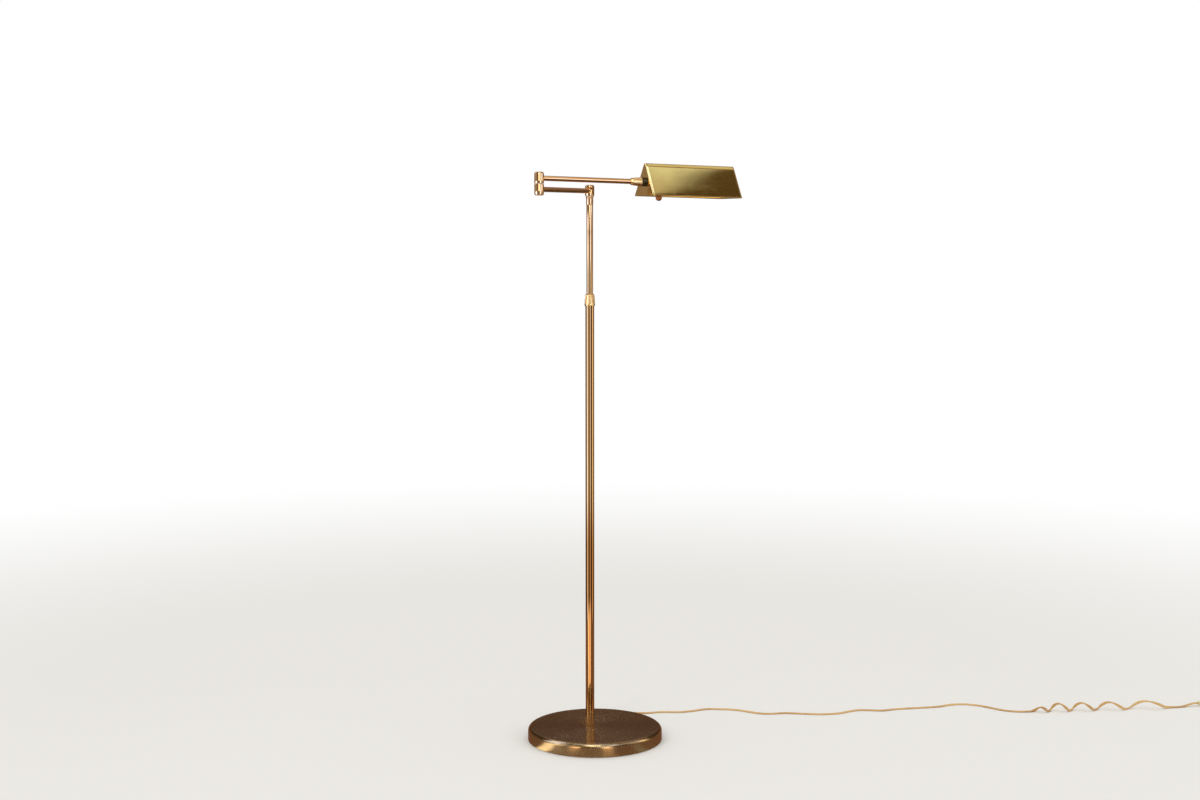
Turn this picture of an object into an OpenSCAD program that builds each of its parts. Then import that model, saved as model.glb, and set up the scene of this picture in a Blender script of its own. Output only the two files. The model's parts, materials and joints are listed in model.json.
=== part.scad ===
// Bridge floor lamp: a round weighted base, a telescoping post near the base's back edge,
// a double swing arm and a folded tent shade that turns on the end of the arm.
// Millimetres. Z is up, the base's centre stands on the origin, the post is towards +Y,
// and the arms and the shade lie as the lamp stands in use.

/* [Base] */
// Diameter of the round base
base_d = 254; // [250:1:300]
// Height of the base over the floor
base_h = 25.4; // [25:0.2:32]
// Radius of the base's rounded top edge
base_edge_r = 8; // [4:0.5:10]
// Distance from the base's centre back to the post
post_back = 107; // [0:1:107]

/* [Post] */
// Outside diameter of the post tube
post_d = 17; // [17:0.1:19]
// Height of the post tube's top end over the floor
post_top = 820; // [600:5:900]
// Outside diameter of the sliding mast tube
mast_d = 12.7; // [12.7:0.1:13]
// Height of the lower arm's axis over the floor
arm_height = 1036.5; // [1000:0.5:1100]
// Length of mast tube that is hidden below the post's top end
mast_hidden = 180; // [150:5:220]

/* [Arms] */
// Outside diameter of both arm tubes
arm_d = 9.5; // [8:0.1:9.5]
// Lower arm, from the post's axis to the elbow's axis
lower_arm_len = 184; // [150:1:240]
// Upper arm, from the elbow's axis to the shade's end panel
upper_arm_len = 204; // [196:1:260]
// Direction of the lower arm, seen from above, from +X
lower_arm_dir = 235; // [200:1:270]
// Direction of the upper arm and the shade, seen from above, from +X
upper_arm_dir = 14; // [0:1:30]
// How far the upper arm droops below level
arm_droop = 1.5; // [0:0.1:2]

/* [Shade] */
// Length of the shade
shade_len = 178; // [170:1:220]
// Width of the shade's open bottom
shade_w = 101.6; // [96:0.2:120]
// Height of the shade from its bottom edge to its flat ridge
shade_h = 60; // [58:0.5:75]

/* [Cord] */
// Width of the flat cord
cord_w = 5.4; // [5:0.1:6]
// Thickness of the flat cord
cord_t = 2.7; // [2.5:0.1:2.8]

/* [Hidden] */
$fn = 72;
e = 1;                          // how far a cutter runs past the face that it cuts

// clearances
run_fit = 0.05;                 // radial, a turning or sliding fit
part_gap = 0.3;                 // between faces that pass each other

// base
sheet = 1.2;                    // spun brass of the base cover
base_r = base_d / 2;
cover_foot = 0.8;               // gap between the cover's rolled edge and the floor
lip = 6;                        // width of the rolled edge under the weight
pad_t = cover_foot + sheet;     // the felt reaches down to the floor
pad_r = base_r - lip - 1;
weight_r = base_r - 3;
weight_edge = 8;                // chamfer of the weight's top edge
weight_top = base_h - sheet;
recess_r = 13;                  // recess for the nut, under the weight
recess_top = weight_top - 6;     // leaves the nut over the lead's bend
nipple_d = 10;
lead_w = 5.3;                   // two-wire lead inside the tubes
lead_t = 2.6;
nipple_bore = lead_w - 0.1;     // the bushings grip the lead
washer_t = 1.6;
nut_t = 5;
nut_flats = 14;
nipple_top = base_h + 20;
exit_z = 8;                     // height of the cord's exit in the rear wall
exit_d = 9;
sleeve_len = 24;
sleeve_d = 10.4;
sleeve_tip = 7;

// post and its clamp
post_wall = 1;
post_bore = post_d - 2 * post_wall;
foot_h = 16;
socket_spigot = 20;             // length of the threaded head's spigot in the post
socket_flange = 1.5;
thread_d = post_d - 1.2;
thread_top = post_top + 11;
seat_z = post_top + 6;
seat_d = thread_d - 1.2;
collet_top = post_top + 16;
collar_z = post_top - 2.5;
collar_h = 23;
collar_d = post_d + 3.4;        // over the flutes, at the bottom
collar_top_d = post_d + 0.8;
collar_flutes = 16;
mast_wall = 0.9;
mast_bore = mast_d - 2 * mast_wall;
mast_bottom = post_top - mast_hidden;
guide_h = 12;

// barrels, shared by the knuckle and the elbow
barrel_d = 17.5;
barrel_h = 19.4;
barrel_edge = 0.8;
stem_d = 9.5;
stem_bore = nipple_bore;
socket_depth = 6.5;             // the arm tube starts this far from a barrel's axis
disc_t = 0.5;                   // thin friction washers
barrel_gap = disc_t + part_gap;
arm_pitch = barrel_h + barrel_gap;
cap_t = 1.6;
cap_d = 15.4;
knuckle_low = arm_height - barrel_h / 2;
ferrule_top = knuckle_low - barrel_gap;
ferrule_h = 16;
ferrule_d = 13.4;
mast_top = ferrule_top - ferrule_h;
spigot = 14;
wire_post_top = mast_bottom - 200;

// arms
arm_wall = 0.8;
arm_bore = arm_d - 2 * arm_wall;
lobe_at = (lead_w - lead_t) / 2; // middle of each conductor, to the side of the lead's middle
wire_drop = sqrt(pow((arm_bore - lead_t) / 2, 2) - pow(lobe_at, 2)) - 0.01;
tube_end = upper_arm_len - 22;
head_len = 5.6;
head_d = 11.4;
fitting_bore = 5.6;

// swivel nut and the shade's stem, measured along the upper arm from the elbow
washer_len = 5.3;
boss_end = upper_arm_len - washer_len;
boss_d = 12;
nut_end = boss_end - part_gap;
swivel_nut_len = 21.2;
swivel_nut_flutes = 14;

// shade, measured from the outside of its end panel and from the arm's axis
brass = 0.9;
axis_up = 25.5;                 // arm axis over the shade's bottom edge
knee_z = shade_h - 6;
knee_half = 9.7;
ridge_half = 3.5;
fold_r = 3.4;
hem_h = 4;
side_slope = (shade_w / 2 - knee_half) / knee_z;
facet_slope = (knee_half - ridge_half) / (shade_h - knee_z);

// socket and bulb, measured from the outside of the shade's end panel
locknut_t = 3.5;
cap_start = brass + locknut_t;
neck_len = 6;
neck_d = 13;
cap_end = 27;
shell_d = 33;
shell_wall = 0.6;
shell_start = 19;
shell_end = 60;
body_start = 23;
body_end = 38;
contact_t = 2.5;
screw_d = 27.6;
screw_bore = 26.8;
bulb_tip = body_end + contact_t;
bulb_base_d = 26.2;
bulb_base_end = bulb_tip + 23;
bulb_d = 30;
bulb_end = 160;
glass_t = 0.8;
knob_x = 30;
knob_r = 6;
knob_drop = 28.2;               // ball's centre below the arm's axis
shaft_d = 3;

// plug
plug_at = [1240, -10.4, 6.5];   // middle of the face that the cord enters
plug_turn = 4;
plug_len = 30;
plug_w = 24;
plug_h = 13;
neck_r = 4.6;
plug_neck = 9;
blade = [17.5, 1.5, 6.3];
blade_pitch = 12.7;

// cord route on the floor, measured from the base's rear wall: from the tip of the sleeve
// to where the cord's twist kinks it, through the kinks, and up into the plug
lay_z = 1.4;
cord_start = [
    [0, sleeve_len, exit_z], [0, 31, exit_z], [5, 44, 5.4], [15, 55, 2.8], [31, 61, lay_z],
    [50, 59, lay_z], [70, 51, lay_z], [92, 41, lay_z], [118, 37, lay_z], [150, 42, lay_z],
    [186, 38, lay_z], [213, 44, lay_z], [242, 55, lay_z], [270, 52, lay_z], [299, 44, lay_z],
    [324, 27, lay_z], [346, 12, lay_z], [370, 9, lay_z], [394, 11, lay_z], [420, 5, lay_z],
    [460, -4, lay_z], [498, -2, lay_z], [524, 11, lay_z], [546, 19, lay_z], [568, 16, lay_z],
    [592, 11, lay_z], [622, 19, lay_z], [665, 24, lay_z], [711, 29, lay_z], [740, 41, lay_z],
    [768, 43, lay_z], [795, 31, lay_z], [816, 10, lay_z], [836, -11, lay_z], [860, -22, lay_z]];
kink_from = [884, -24, lay_z];
kink_to = [1188, -20, lay_z];
kinks = 5;                      // loose turns of the corkscrew
kink_r = 7;
kink_steps = 40;
kink_open = 0.6;                // how much wider the last turn is than the first
cord_end = [[1204, -17.6, 1.9], [1217, -14.4, 4], [1229, -11.4, 6], plug_at];
cord_sides = 8;

// ---------- helpers ----------

module ring(od, id, h) {
    difference() {
        cylinder(d = od, h = h);
        translate([0, 0, -e]) cylinder(d = id, h = h + 2 * e);
    }
}

// round section of a plate with a rounded outer top edge
module plate_section(r, h, edge) {
    square([r - edge, h]);
    square([r, h - edge]);
    translate([r - edge, h - edge]) circle(r = edge);
}

// two-wire lead, standing up from z = 0
module lead(h) {
    linear_extrude(h) {
        for (side = [-1, 1]) translate([side * lobe_at, 0]) circle(d = lead_t);
        square([lead_w - lead_t, lead_t * 0.7], center = true);
    }
}

module at_post() {
    translate([0, post_back, 0]) children();
}

// x runs along the lower arm, from the post's axis
module on_lower_arm() {
    translate([0, post_back, arm_height]) rotate([0, 0, lower_arm_dir]) children();
}

module at_elbow() {
    on_lower_arm() translate([lower_arm_len, 0, 0]) rotate([0, 0, -lower_arm_dir]) children();
}

// x runs along the upper arm, from the elbow's axis
module on_upper_arm() {
    at_elbow() translate([0, 0, arm_pitch]) rotate([0, arm_droop, upper_arm_dir]) children();
}

// x runs along the shade, from the outside of its end panel, on the arm's axis
module on_shade() {
    on_upper_arm() translate([upper_arm_len, 0, 0]) children();
}

// lays a shape that stands along z down along x
module along_x() {
    rotate([0, 90, 0]) children();
}

// ---------- base ----------

module base_cover() {
    color("#8a7350") difference() {
        rotate_extrude($fn = 180) {
            difference() {
                translate([0, cover_foot])
                    plate_section(base_r, base_h - cover_foot, base_edge_r);
                plate_section(base_r - sheet, base_h - sheet, base_edge_r - sheet);
            }
            translate([base_r - lip, cover_foot]) square([lip - sheet / 2, sheet]);
        }
        at_post() cylinder(d = nipple_d, h = base_h + e);
        translate([0, base_r - 2 * lip, exit_z]) rotate([-90, 0, 0]) cylinder(d = exit_d, h = 3 * lip);
    }
}

module base_weight() {
    color("#3c3a38") difference() {
        rotate_extrude($fn = 120) translate([0, pad_t]) polygon([
            [0, 0], [weight_r, 0], [weight_r, weight_top - pad_t - weight_edge],
            [weight_r - weight_edge, weight_top - pad_t], [0, weight_top - pad_t]]);
        at_post() cylinder(d = nipple_d, h = base_h);
        at_post() translate([0, 0, -e]) cylinder(r = recess_r, h = recess_top + e);
        translate([-recess_r / 2, post_back, -e]) cube([recess_r, base_r, recess_top + e]);
    }
}

module base_pad() {
    color("#2c4634") cylinder(r = pad_r, h = pad_t, $fn = 120);
}

module base_nipple() {
    color("#b9a26a") at_post() translate([0, 0, recess_top - washer_t - nut_t - 1])
        ring(nipple_d, nipple_bore, nipple_top - recess_top + washer_t + nut_t + 1);
}

module base_washer() {
    color("#9a9a98") at_post() translate([0, 0, recess_top - washer_t])
        ring(2 * recess_r - 4, nipple_d, washer_t);
}

module base_nut() {
    color("#a5a29a") at_post() translate([0, 0, recess_top - washer_t - nut_t]) difference() {
        cylinder(d = nut_flats / cos(30), h = nut_t, $fn = 6);
        translate([0, 0, -e]) cylinder(d = nipple_d, h = nut_t + 2 * e);
    }
}

module post_foot() {
    color("#b9a26a") at_post() translate([0, 0, base_h]) ring(post_bore, nipple_d, foot_h);
}

// ---------- post ----------

module post_tube() {
    color("#b08d57") at_post() translate([0, 0, base_h])
        ring(post_d, post_bore, post_top - base_h);
}

// threaded head: the mast slides in its bore, the collet stands on its inner shoulder
module post_socket() {
    color("#c9a24a") at_post() difference() {
        union() {
            translate([0, 0, post_top - socket_spigot]) cylinder(d = post_bore, h = socket_spigot);
            translate([0, 0, post_top]) cylinder(d = post_d, h = socket_flange);
            translate([0, 0, post_top]) cylinder(d = thread_d, h = thread_top - post_top);
        }
        translate([0, 0, post_top - socket_spigot - e])
            cylinder(d = mast_d + 2 * run_fit, h = thread_top);
        translate([0, 0, seat_z]) cylinder(d = seat_d, h = thread_top);
    }
}

// split ring whose tapered fingers the collar presses on the mast
module collet() {
    grip_h = collet_top - seat_z;
    shank_h = thread_top - seat_z;
    color("#d8c79a") at_post() translate([0, 0, seat_z]) difference() {
        union() {
            cylinder(d = seat_d, h = shank_h);
            translate([0, 0, shank_h]) cylinder(d1 = seat_d, d2 = seat_d - 0.8, h = grip_h - shank_h);
        }
        translate([0, 0, -e]) cylinder(d = mast_d + 2 * run_fit, h = grip_h + 2 * e);
        translate([0, -0.6, -e]) cube([seat_d, 1.2, grip_h + 2 * e]);
        for (turn = [90, 180, 270]) rotate([0, 0, turn])
            translate([0, -0.5, 3]) cube([seat_d, 1, grip_h]);
    }
}

module post_wire() {
    color("#6f5a30") {
        at_post() translate([0, 0, exit_z]) lead(wire_post_top - exit_z);
        at_post() translate([0, 0, exit_z]) rotate([-90, 0, 0])
            lead(base_r - 2 * lip + 2 - post_back);
    }
}

module cord_sleeve() {
    inner = base_r - 2 * lip + 2;
    color("#7a6334") translate([0, inner, exit_z]) rotate([-90, 0, 0]) {
        cylinder(d = exit_d, h = base_r - inner);
        translate([0, 0, base_r - inner]) cylinder(d1 = sleeve_d, d2 = sleeve_tip, h = sleeve_len);
    }
}

// ---------- lock collar ----------

module lock_collar() {
    skirt = post_top + socket_flange + part_gap - collar_z;
    cone_z = thread_top + 0.5 - collar_z;
    roof_z = collet_top + 1 - collar_z;
    color("#d9b45c") at_post() translate([0, 0, collar_z]) difference() {
        union() {
            cylinder(d1 = collar_d - 1.2, d2 = collar_d, h = 1);
            translate([0, 0, 1]) cylinder(d1 = collar_d, d2 = collar_top_d, h = collar_h - 3);
            translate([0, 0, collar_h - 2]) cylinder(d1 = collar_top_d, d2 = collar_top_d - 1.2, h = 1);
            translate([0, 0, collar_h - 1]) cylinder(d1 = collar_top_d - 1.2, d2 = collar_top_d - 4, h = 1);
        }
        translate([0, 0, -e]) cylinder(d = post_d + 0.2, h = skirt + e);
        cylinder(d = thread_d + 2 * run_fit, h = cone_z);
        translate([0, 0, cone_z - 0.1]) cylinder(d1 = seat_d + 0.8, d2 = seat_d + 0.2, h = roof_z - cone_z + 0.1);
        cylinder(d = mast_d + 2 * part_gap, h = collar_h + e);
        for (i = [0 : collar_flutes - 1]) rotate([0, 0, 360 / collar_flutes * i])
            translate([collar_d / 2 + 0.7, 0, 2.2]) rotate([0, -3.9, 0])
                cylinder(r = 1.25, h = collar_h, $fn = 24);
    }
}

// ---------- mast ----------

module mast_tube() {
    color("#b8935a") at_post() translate([0, 0, mast_bottom])
        ring(mast_d, mast_bore, mast_top - mast_bottom);
}

// ring at the mast's lower end: it runs in the post and stops under the threaded head
module mast_guide() {
    color("#e6e0d0") at_post() translate([0, 0, mast_bottom])
        ring(post_bore - 2 * run_fit, mast_d, guide_h);
}

module mast_ferrule() {
    color("#c9a24a") at_post() difference() {
        union() {
            translate([0, 0, mast_top - spigot]) cylinder(d = mast_bore, h = spigot);
            translate([0, 0, mast_top]) cylinder(d1 = ferrule_d - 0.6, d2 = ferrule_d, h = 0.6);
            translate([0, 0, mast_top + 0.6]) cylinder(d = ferrule_d, h = ferrule_h - 2.6);
            translate([0, 0, ferrule_top - 2]) cylinder(d1 = ferrule_d, d2 = ferrule_d + 1.6, h = 1);
            translate([0, 0, ferrule_top - 1]) cylinder(d = ferrule_d + 1.6, h = 1);
        }
        translate([0, 0, mast_top - spigot - e]) cylinder(d = stem_d, h = ferrule_h + spigot + 2 * e);
    }
}

// hollow stem, with a window that lets the lead out into an arm
module window(z, toward) {
    rotate([0, 0, toward]) translate([0, -stem_d / 2, z - 3]) cube([stem_d, stem_d, 6]);
}

module swivel_stem() {
    color("#b9a26a") at_post() difference() {
        translate([0, 0, mast_top - spigot])
            ring(stem_d, stem_bore, knuckle_low + barrel_h + part_gap + 0.8 - mast_top + spigot);
        window(arm_height, lower_arm_dir);
    }
}

module knuckle_washer() {
    color("#d8d2c2") at_post() translate([0, 0, ferrule_top]) ring(barrel_d - 1.5, stem_d, disc_t);
}

// low domed cap, screwed on the end of a stem that reaches 0.8 into it
module end_cap() {
    difference() {
        union() {
            cylinder(d = cap_d, h = cap_t - 0.8);
            translate([0, 0, cap_t - 0.8]) cylinder(d1 = cap_d, d2 = cap_d - 2.4, h = 0.8);
        }
        translate([0, 0, -e]) cylinder(d = stem_d, h = e + 0.8);
    }
}

module knuckle_cap() {
    color("#cda75a") at_post() translate([0, 0, knuckle_low + barrel_h + part_gap]) end_cap();
}

module mast_wire() {
    color("#6f5a30") at_post() translate([0, 0, mast_bottom - 20])
        lead(arm_height - 3 - mast_bottom + 20);
}

// ---------- knuckle, lower arm and elbow ----------

// barrel that an arm tube enters from the +x side, at its middle; hole is its bore
module barrel(hole, tilt) {
    difference() {
        translate([0, 0, -barrel_h / 2]) union() {
            cylinder(d1 = barrel_d - 2 * barrel_edge, d2 = barrel_d, h = barrel_edge);
            translate([0, 0, barrel_edge]) cylinder(d = barrel_d, h = barrel_h - 2 * barrel_edge);
            translate([0, 0, barrel_h - barrel_edge])
                cylinder(d1 = barrel_d, d2 = barrel_d - 2 * barrel_edge, h = barrel_edge);
        }
        translate([0, 0, -barrel_h]) cylinder(d = hole, h = 2 * barrel_h);
        rotate([0, tilt, 0]) along_x() {
            cylinder(d = fitting_bore, h = barrel_d);
            translate([0, 0, socket_depth]) cylinder(d = arm_d, h = barrel_d);
        }
    }
}

module knuckle_barrel() {
    color("#bf9a5e") on_lower_arm() barrel(stem_d + 2 * run_fit, 0);
}

module lower_arm_tube() {
    color("#b8935a") on_lower_arm() translate([socket_depth, 0, 0]) along_x()
        ring(arm_d, arm_bore, lower_arm_len - 2 * socket_depth);
}

module elbow_lower_barrel() {
    color("#bf9a5e") at_elbow() rotate([0, 0, lower_arm_dir + 180]) barrel(stem_d, 0);
}

module elbow_stem() {
    color("#b9a26a") at_elbow() difference() {
        translate([0, 0, -barrel_h / 2 - 0.8])
            ring(stem_d, stem_bore, barrel_h + arm_pitch + part_gap + 1.6);
        window(0, lower_arm_dir + 180);
        window(arm_pitch, upper_arm_dir);
    }
}

module elbow_bottom_cap() {
    color("#8f6f3e") at_elbow() translate([0, 0, -barrel_h / 2]) rotate([180, 0, 0]) end_cap();
}

module elbow_top_cap() {
    color("#cda75a") at_elbow() translate([0, 0, arm_pitch + barrel_h / 2 + part_gap]) end_cap();
}

module elbow_washer() {
    color("#d8d2c2") at_elbow() translate([0, 0, barrel_h / 2]) ring(barrel_d - 1.5, stem_d, disc_t);
}

// length of lead that lies on the bottom of an arm tube
module arm_lead(from, to) {
    translate([from, 0, -wire_drop]) along_x() rotate([0, 0, 90]) lead(to - from);
}

module lower_arm_wire() {
    color("#6f5a30") on_lower_arm() arm_lead(2 * socket_depth, lower_arm_len - 2 * socket_depth);
}

// ---------- upper arm ----------

module elbow_upper_barrel() {
    color("#bf9a5e") at_elbow() translate([0, 0, arm_pitch]) rotate([0, 0, upper_arm_dir])
        barrel(stem_d + 2 * run_fit, arm_droop);
}

module upper_arm_tube() {
    color("#b8935a") on_upper_arm() translate([socket_depth, 0, 0]) along_x()
        ring(arm_d, arm_bore, tube_end - socket_depth);
}

module arm_end_fitting() {
    color("#c9a24a") on_upper_arm() difference() {
        union() {
            translate([tube_end - spigot, 0, 0]) along_x() cylinder(d = arm_bore, h = spigot);
            translate([tube_end, 0, 0]) along_x() cylinder(d = head_d, h = head_len);
        }
        translate([tube_end - spigot - e, 0, 0]) along_x() cylinder(d = fitting_bore, h = 2 * spigot);
    }
}

module upper_arm_wire() {
    color("#6f5a30") on_upper_arm() arm_lead(2 * socket_depth, tube_end - spigot);
}

// ---------- swivel nut ----------

module shade_nut() {
    start = nut_end - swivel_nut_len;
    lip_end = tube_end - part_gap;
    color("#e0bb62") on_upper_arm() translate([start, 0, 0]) along_x() difference() {
        union() {
            cylinder(d1 = 11.6, d2 = 13.8, h = 3);
            translate([0, 0, 3]) cylinder(d1 = 13.8, d2 = 17, h = swivel_nut_len - 4);
            translate([0, 0, swivel_nut_len - 1]) cylinder(d1 = 17, d2 = 15.6, h = 1);
        }
        translate([0, 0, -e]) cylinder(d = arm_d + 2 * part_gap, h = 2 * e + lip_end - start);
        translate([0, 0, lip_end - start]) cylinder(d = boss_d + 2 * run_fit, h = swivel_nut_len);
        for (i = [0 : swivel_nut_flutes - 1]) rotate([0, 0, 360 / swivel_nut_flutes * i])
            translate([7.55, 0, 2.5]) rotate([0, 5, 0]) cylinder(r = 1.1, h = swivel_nut_len, $fn = 24);
    }
}

// ---------- shade ----------

// half width of the tent at height z over its bottom, its sheet moved in by inset
function side_half(z, inset) =
    shade_w / 2 - z * side_slope - inset * sqrt(1 + side_slope * side_slope);
function facet_half(z, inset) =
    knee_half - (z - knee_z) * facet_slope - inset * sqrt(1 + facet_slope * facet_slope);
function knee_at(inset) = knee_z - inset
    * (sqrt(1 + facet_slope * facet_slope) - sqrt(1 + side_slope * side_slope))
    / (facet_slope - side_slope);
function tent_half(z, inset) = min(side_half(z, inset), facet_half(z, inset));

// tent-shaped solid with folds of radius r, from bottom to top, its walls moved in by inset
module tent(bottom, top, inset, r) {
    levels = top > knee_at(inset) ? [bottom, knee_at(inset), top] : [bottom, top];
    hull() for (z = levels) {
        half = tent_half(z, inset);
        edge = min(r, half);
        for (x = [inset + edge, shade_len - inset - edge], y = [edge - half, half - edge])
            translate([x, y, z - axis_up]) cylinder(r = edge, h = 0.01, $fn = 32);
    }
}

module shade_shell() {
    color("#c9b25a") on_shade() difference() {
        union() {
            difference() {
                tent(0, shade_h - 0.01, 0, fold_r);
                tent(-e, shade_h - brass, brass, fold_r - brass);
            }
            difference() {
                tent(0.2, hem_h, brass / 2, fold_r - brass / 2);
                tent(-e, hem_h + e, 2 * brass, fold_r - 2 * brass);
            }
        }
        translate([-e, 0, 0]) along_x() cylinder(d = stem_d, h = 3 * e);
    }
}

module shade_stem() {
    color("#b9a26a") on_upper_arm() difference() {
        union() {
            translate([tube_end + head_len + part_gap, 0, 0]) along_x()
                cylinder(d = boss_d, h = boss_end - tube_end - head_len - part_gap);
            translate([boss_end - e, 0, 0]) along_x()
                cylinder(d = stem_d, h = washer_len + cap_start + neck_len + e);
        }
        translate([tube_end, 0, 0]) along_x() cylinder(d = fitting_bore, h = upper_arm_len);
    }
}

module shade_washer() {
    color("#1c1b1a") on_upper_arm() translate([boss_end, 0, 0]) along_x() difference() {
        union() {
            cylinder(d1 = 15.5, d2 = 16.5, h = 0.5);
            translate([0, 0, 0.5]) cylinder(d = 16.5, h = washer_len - 0.5);
        }
        translate([0, 0, -e]) cylinder(d = stem_d, h = washer_len + 2 * e);
    }
}

module shade_locknut() {
    color("#a5a29a") on_shade() translate([brass, 0, 0]) along_x() difference() {
        cylinder(d = nut_flats / cos(30), h = locknut_t, $fn = 6);
        translate([0, 0, -e]) cylinder(d = stem_d, h = locknut_t + 2 * e);
    }
}

// ---------- socket, bulb and switch ----------

module socket_cap() {
    flare_d = shell_d + 2 * shell_wall;
    dome_z = neck_len + 5;
    skirt_z = shell_start - cap_start;
    color("#c8a85e") on_shade() translate([cap_start, 0, 0]) along_x() difference() {
        union() {
            cylinder(d = neck_d, h = neck_len);
            translate([0, 0, neck_len]) cylinder(d1 = neck_d, d2 = flare_d - 5, h = dome_z - neck_len);
            translate([0, 0, dome_z]) cylinder(d1 = flare_d - 5, d2 = flare_d, h = skirt_z - dome_z);
            translate([0, 0, skirt_z]) cylinder(d = flare_d, h = cap_end - shell_start);
        }
        translate([0, 0, -e]) cylinder(d = stem_d, h = neck_len + 2 * e);
        translate([0, 0, neck_len + 1]) cylinder(d1 = neck_d, d2 = flare_d - 7, h = dome_z - neck_len);
        translate([0, 0, dome_z + 1]) cylinder(d = flare_d - 7, h = cap_end);
        translate([0, 0, skirt_z]) cylinder(d = shell_d, h = cap_end);
    }
}

module socket_shell() {
    color("#c8a85e") on_shade() difference() {
        translate([shell_start, 0, 0]) along_x()
            ring(shell_d, shell_d - 2 * shell_wall, shell_end - shell_start);
        translate([knob_x, 0, -shell_d]) cylinder(d = shaft_d + 2 * part_gap, h = shell_d);
    }
}

module socket_body() {
    color("#2a211c") on_shade() difference() {
        translate([body_start, 0, 0]) along_x()
            cylinder(d = shell_d - 2 * shell_wall, h = body_end - body_start);
        translate([knob_x, 0, -shell_d]) cylinder(d = shaft_d + 2 * run_fit, h = shell_d - 8);
    }
}

module socket_screw_shell() {
    color("#c9c6bd") on_shade() translate([body_end, 0, 0]) along_x()
        ring(screw_d, screw_bore, shell_end - body_end - 1);
}

module socket_contact() {
    color("#d2a94e") on_shade() translate([body_end, 0, 0]) along_x() cylinder(d = 9, h = contact_t);
}

module bulb_base() {
    color("#bfbfba") on_shade() translate([bulb_tip, 0, 0]) along_x() {
        cylinder(d = 9, h = 1.5);
        translate([0, 0, 1.5]) cylinder(d1 = 12, d2 = bulb_base_d, h = 4);
        translate([0, 0, 5.5]) cylinder(d = bulb_base_d, h = bulb_base_end - bulb_tip - 5.5);
    }
}

// tubular bulb: neck, straight wall and round end
module glass_section(r, tip) {
    square([bulb_base_d / 2 - bulb_d / 2 + r, 8]);
    translate([0, 8]) polygon([[0, 0], [bulb_base_d / 2 - bulb_d / 2 + r, 0], [r, 7], [0, 7]]);
    translate([0, 15]) square([r, tip - r - 15]);
    intersection() {
        translate([0, tip - r]) circle(r = r);
        translate([0, tip - r]) square([r, r]);
    }
}

module bulb_glass() {
    color("#f2efe6", 0.6) on_shade() translate([bulb_base_end, 0, 0]) along_x() rotate_extrude() difference() {
        glass_section(bulb_d / 2, bulb_end - bulb_base_end);
        translate([0, -e / 2]) glass_section(bulb_d / 2 - glass_t, bulb_end - bulb_base_end - glass_t + e / 2);
    }
}

module switch_shaft() {
    color("#b08a4a") on_shade() translate([knob_x, 0, -knob_drop]) cylinder(d = shaft_d, h = knob_drop - 9);
}

module switch_knob() {
    color("#8a5a2c") on_shade() translate([knob_x, 0, -knob_drop]) difference() {
        union() {
            sphere(r = knob_r);
            cylinder(d = 5, h = knob_r + 1);
        }
        cylinder(d = shaft_d, h = 2 * knob_r);
    }
}

// ---------- cord and plug ----------

function unit(v) = v / norm(v);
function mix(a, b, t) = a + (b - a) * t;
function ease(t) = t * t * (3 - 2 * t);

// loose corkscrew: the cord winds round a straight line and comes down to the floor each turn,
// and its turns grow wider towards the plug
function kink_t(i) = (1 + kink_open - sqrt(pow(1 + kink_open, 2) - 4 * kink_open * i / kink_steps))
    / (2 * kink_open);
function kink_roll(i) = 360 * kinks * i / kink_steps;
function kink_swing(i) = kink_r * ease(min(1, 8 * min(kink_t(i), 1 - kink_t(i))));
kink_side = unit(cross([0, 0, 1], kink_to - kink_from));
// height at which the rolled cord just touches the floor
function kink_rest(i) = norm([cord_w / 2 * sin(kink_roll(i)), cord_t / 2 * cos(kink_roll(i))]);
kink_points = [for (i = [0 : kink_steps])
    let (rise = kink_swing(i) * (1 - cos(kink_roll(i))))
        mix(kink_from, kink_to, kink_t(i)) + kink_side * kink_swing(i) * sin(kink_roll(i))
            + [0, 0, max(rise, kink_rest(i) - lay_z + 0.05)]];

from_rear = [0, base_r, 0];
route = [for (p = concat(cord_start, kink_points, cord_end)) p + from_rear];
rolls = concat([for (p = cord_start) 0], [for (i = [0 : kink_steps]) -kink_roll(i)],
    [for (p = cord_end) 0]);

function heading(i) = unit(route[min(i + 1, len(route) - 1)] - route[max(i - 1, 0)]);
function cord_ring(i) = let (t = heading(i), s = unit(cross([0, 0, 1], t)), n = cross(t, s))
    [for (k = [0 : cord_sides - 1])
        let (a = 360 * k / cord_sides, x = cord_w / 2 * cos(a), z = cord_t / 2 * sin(a))
        route[i] + s * (x * cos(rolls[i]) - z * sin(rolls[i]))
            + n * (x * sin(rolls[i]) + z * cos(rolls[i]))];

module cord() {
    rings = len(route);
    last = (rings - 1) * cord_sides;
    color("#a9824a") polyhedron(
        points = [for (i = [0 : rings - 1]) each cord_ring(i)],
        faces = concat(
            [[for (k = [0 : cord_sides - 1]) k]],
            [for (i = [0 : rings - 2], k = [0 : cord_sides - 1])
                let (a = i * cord_sides + k, b = i * cord_sides + (k + 1) % cord_sides)
                each [[a, a + cord_sides, b + cord_sides], [a, b + cord_sides, b]]],
            [[for (k = [0 : cord_sides - 1]) last + cord_sides - 1 - k]]));
}

module at_plug() {
    translate(plug_at + from_rear) rotate([0, 0, plug_turn]) children();
}

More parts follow.
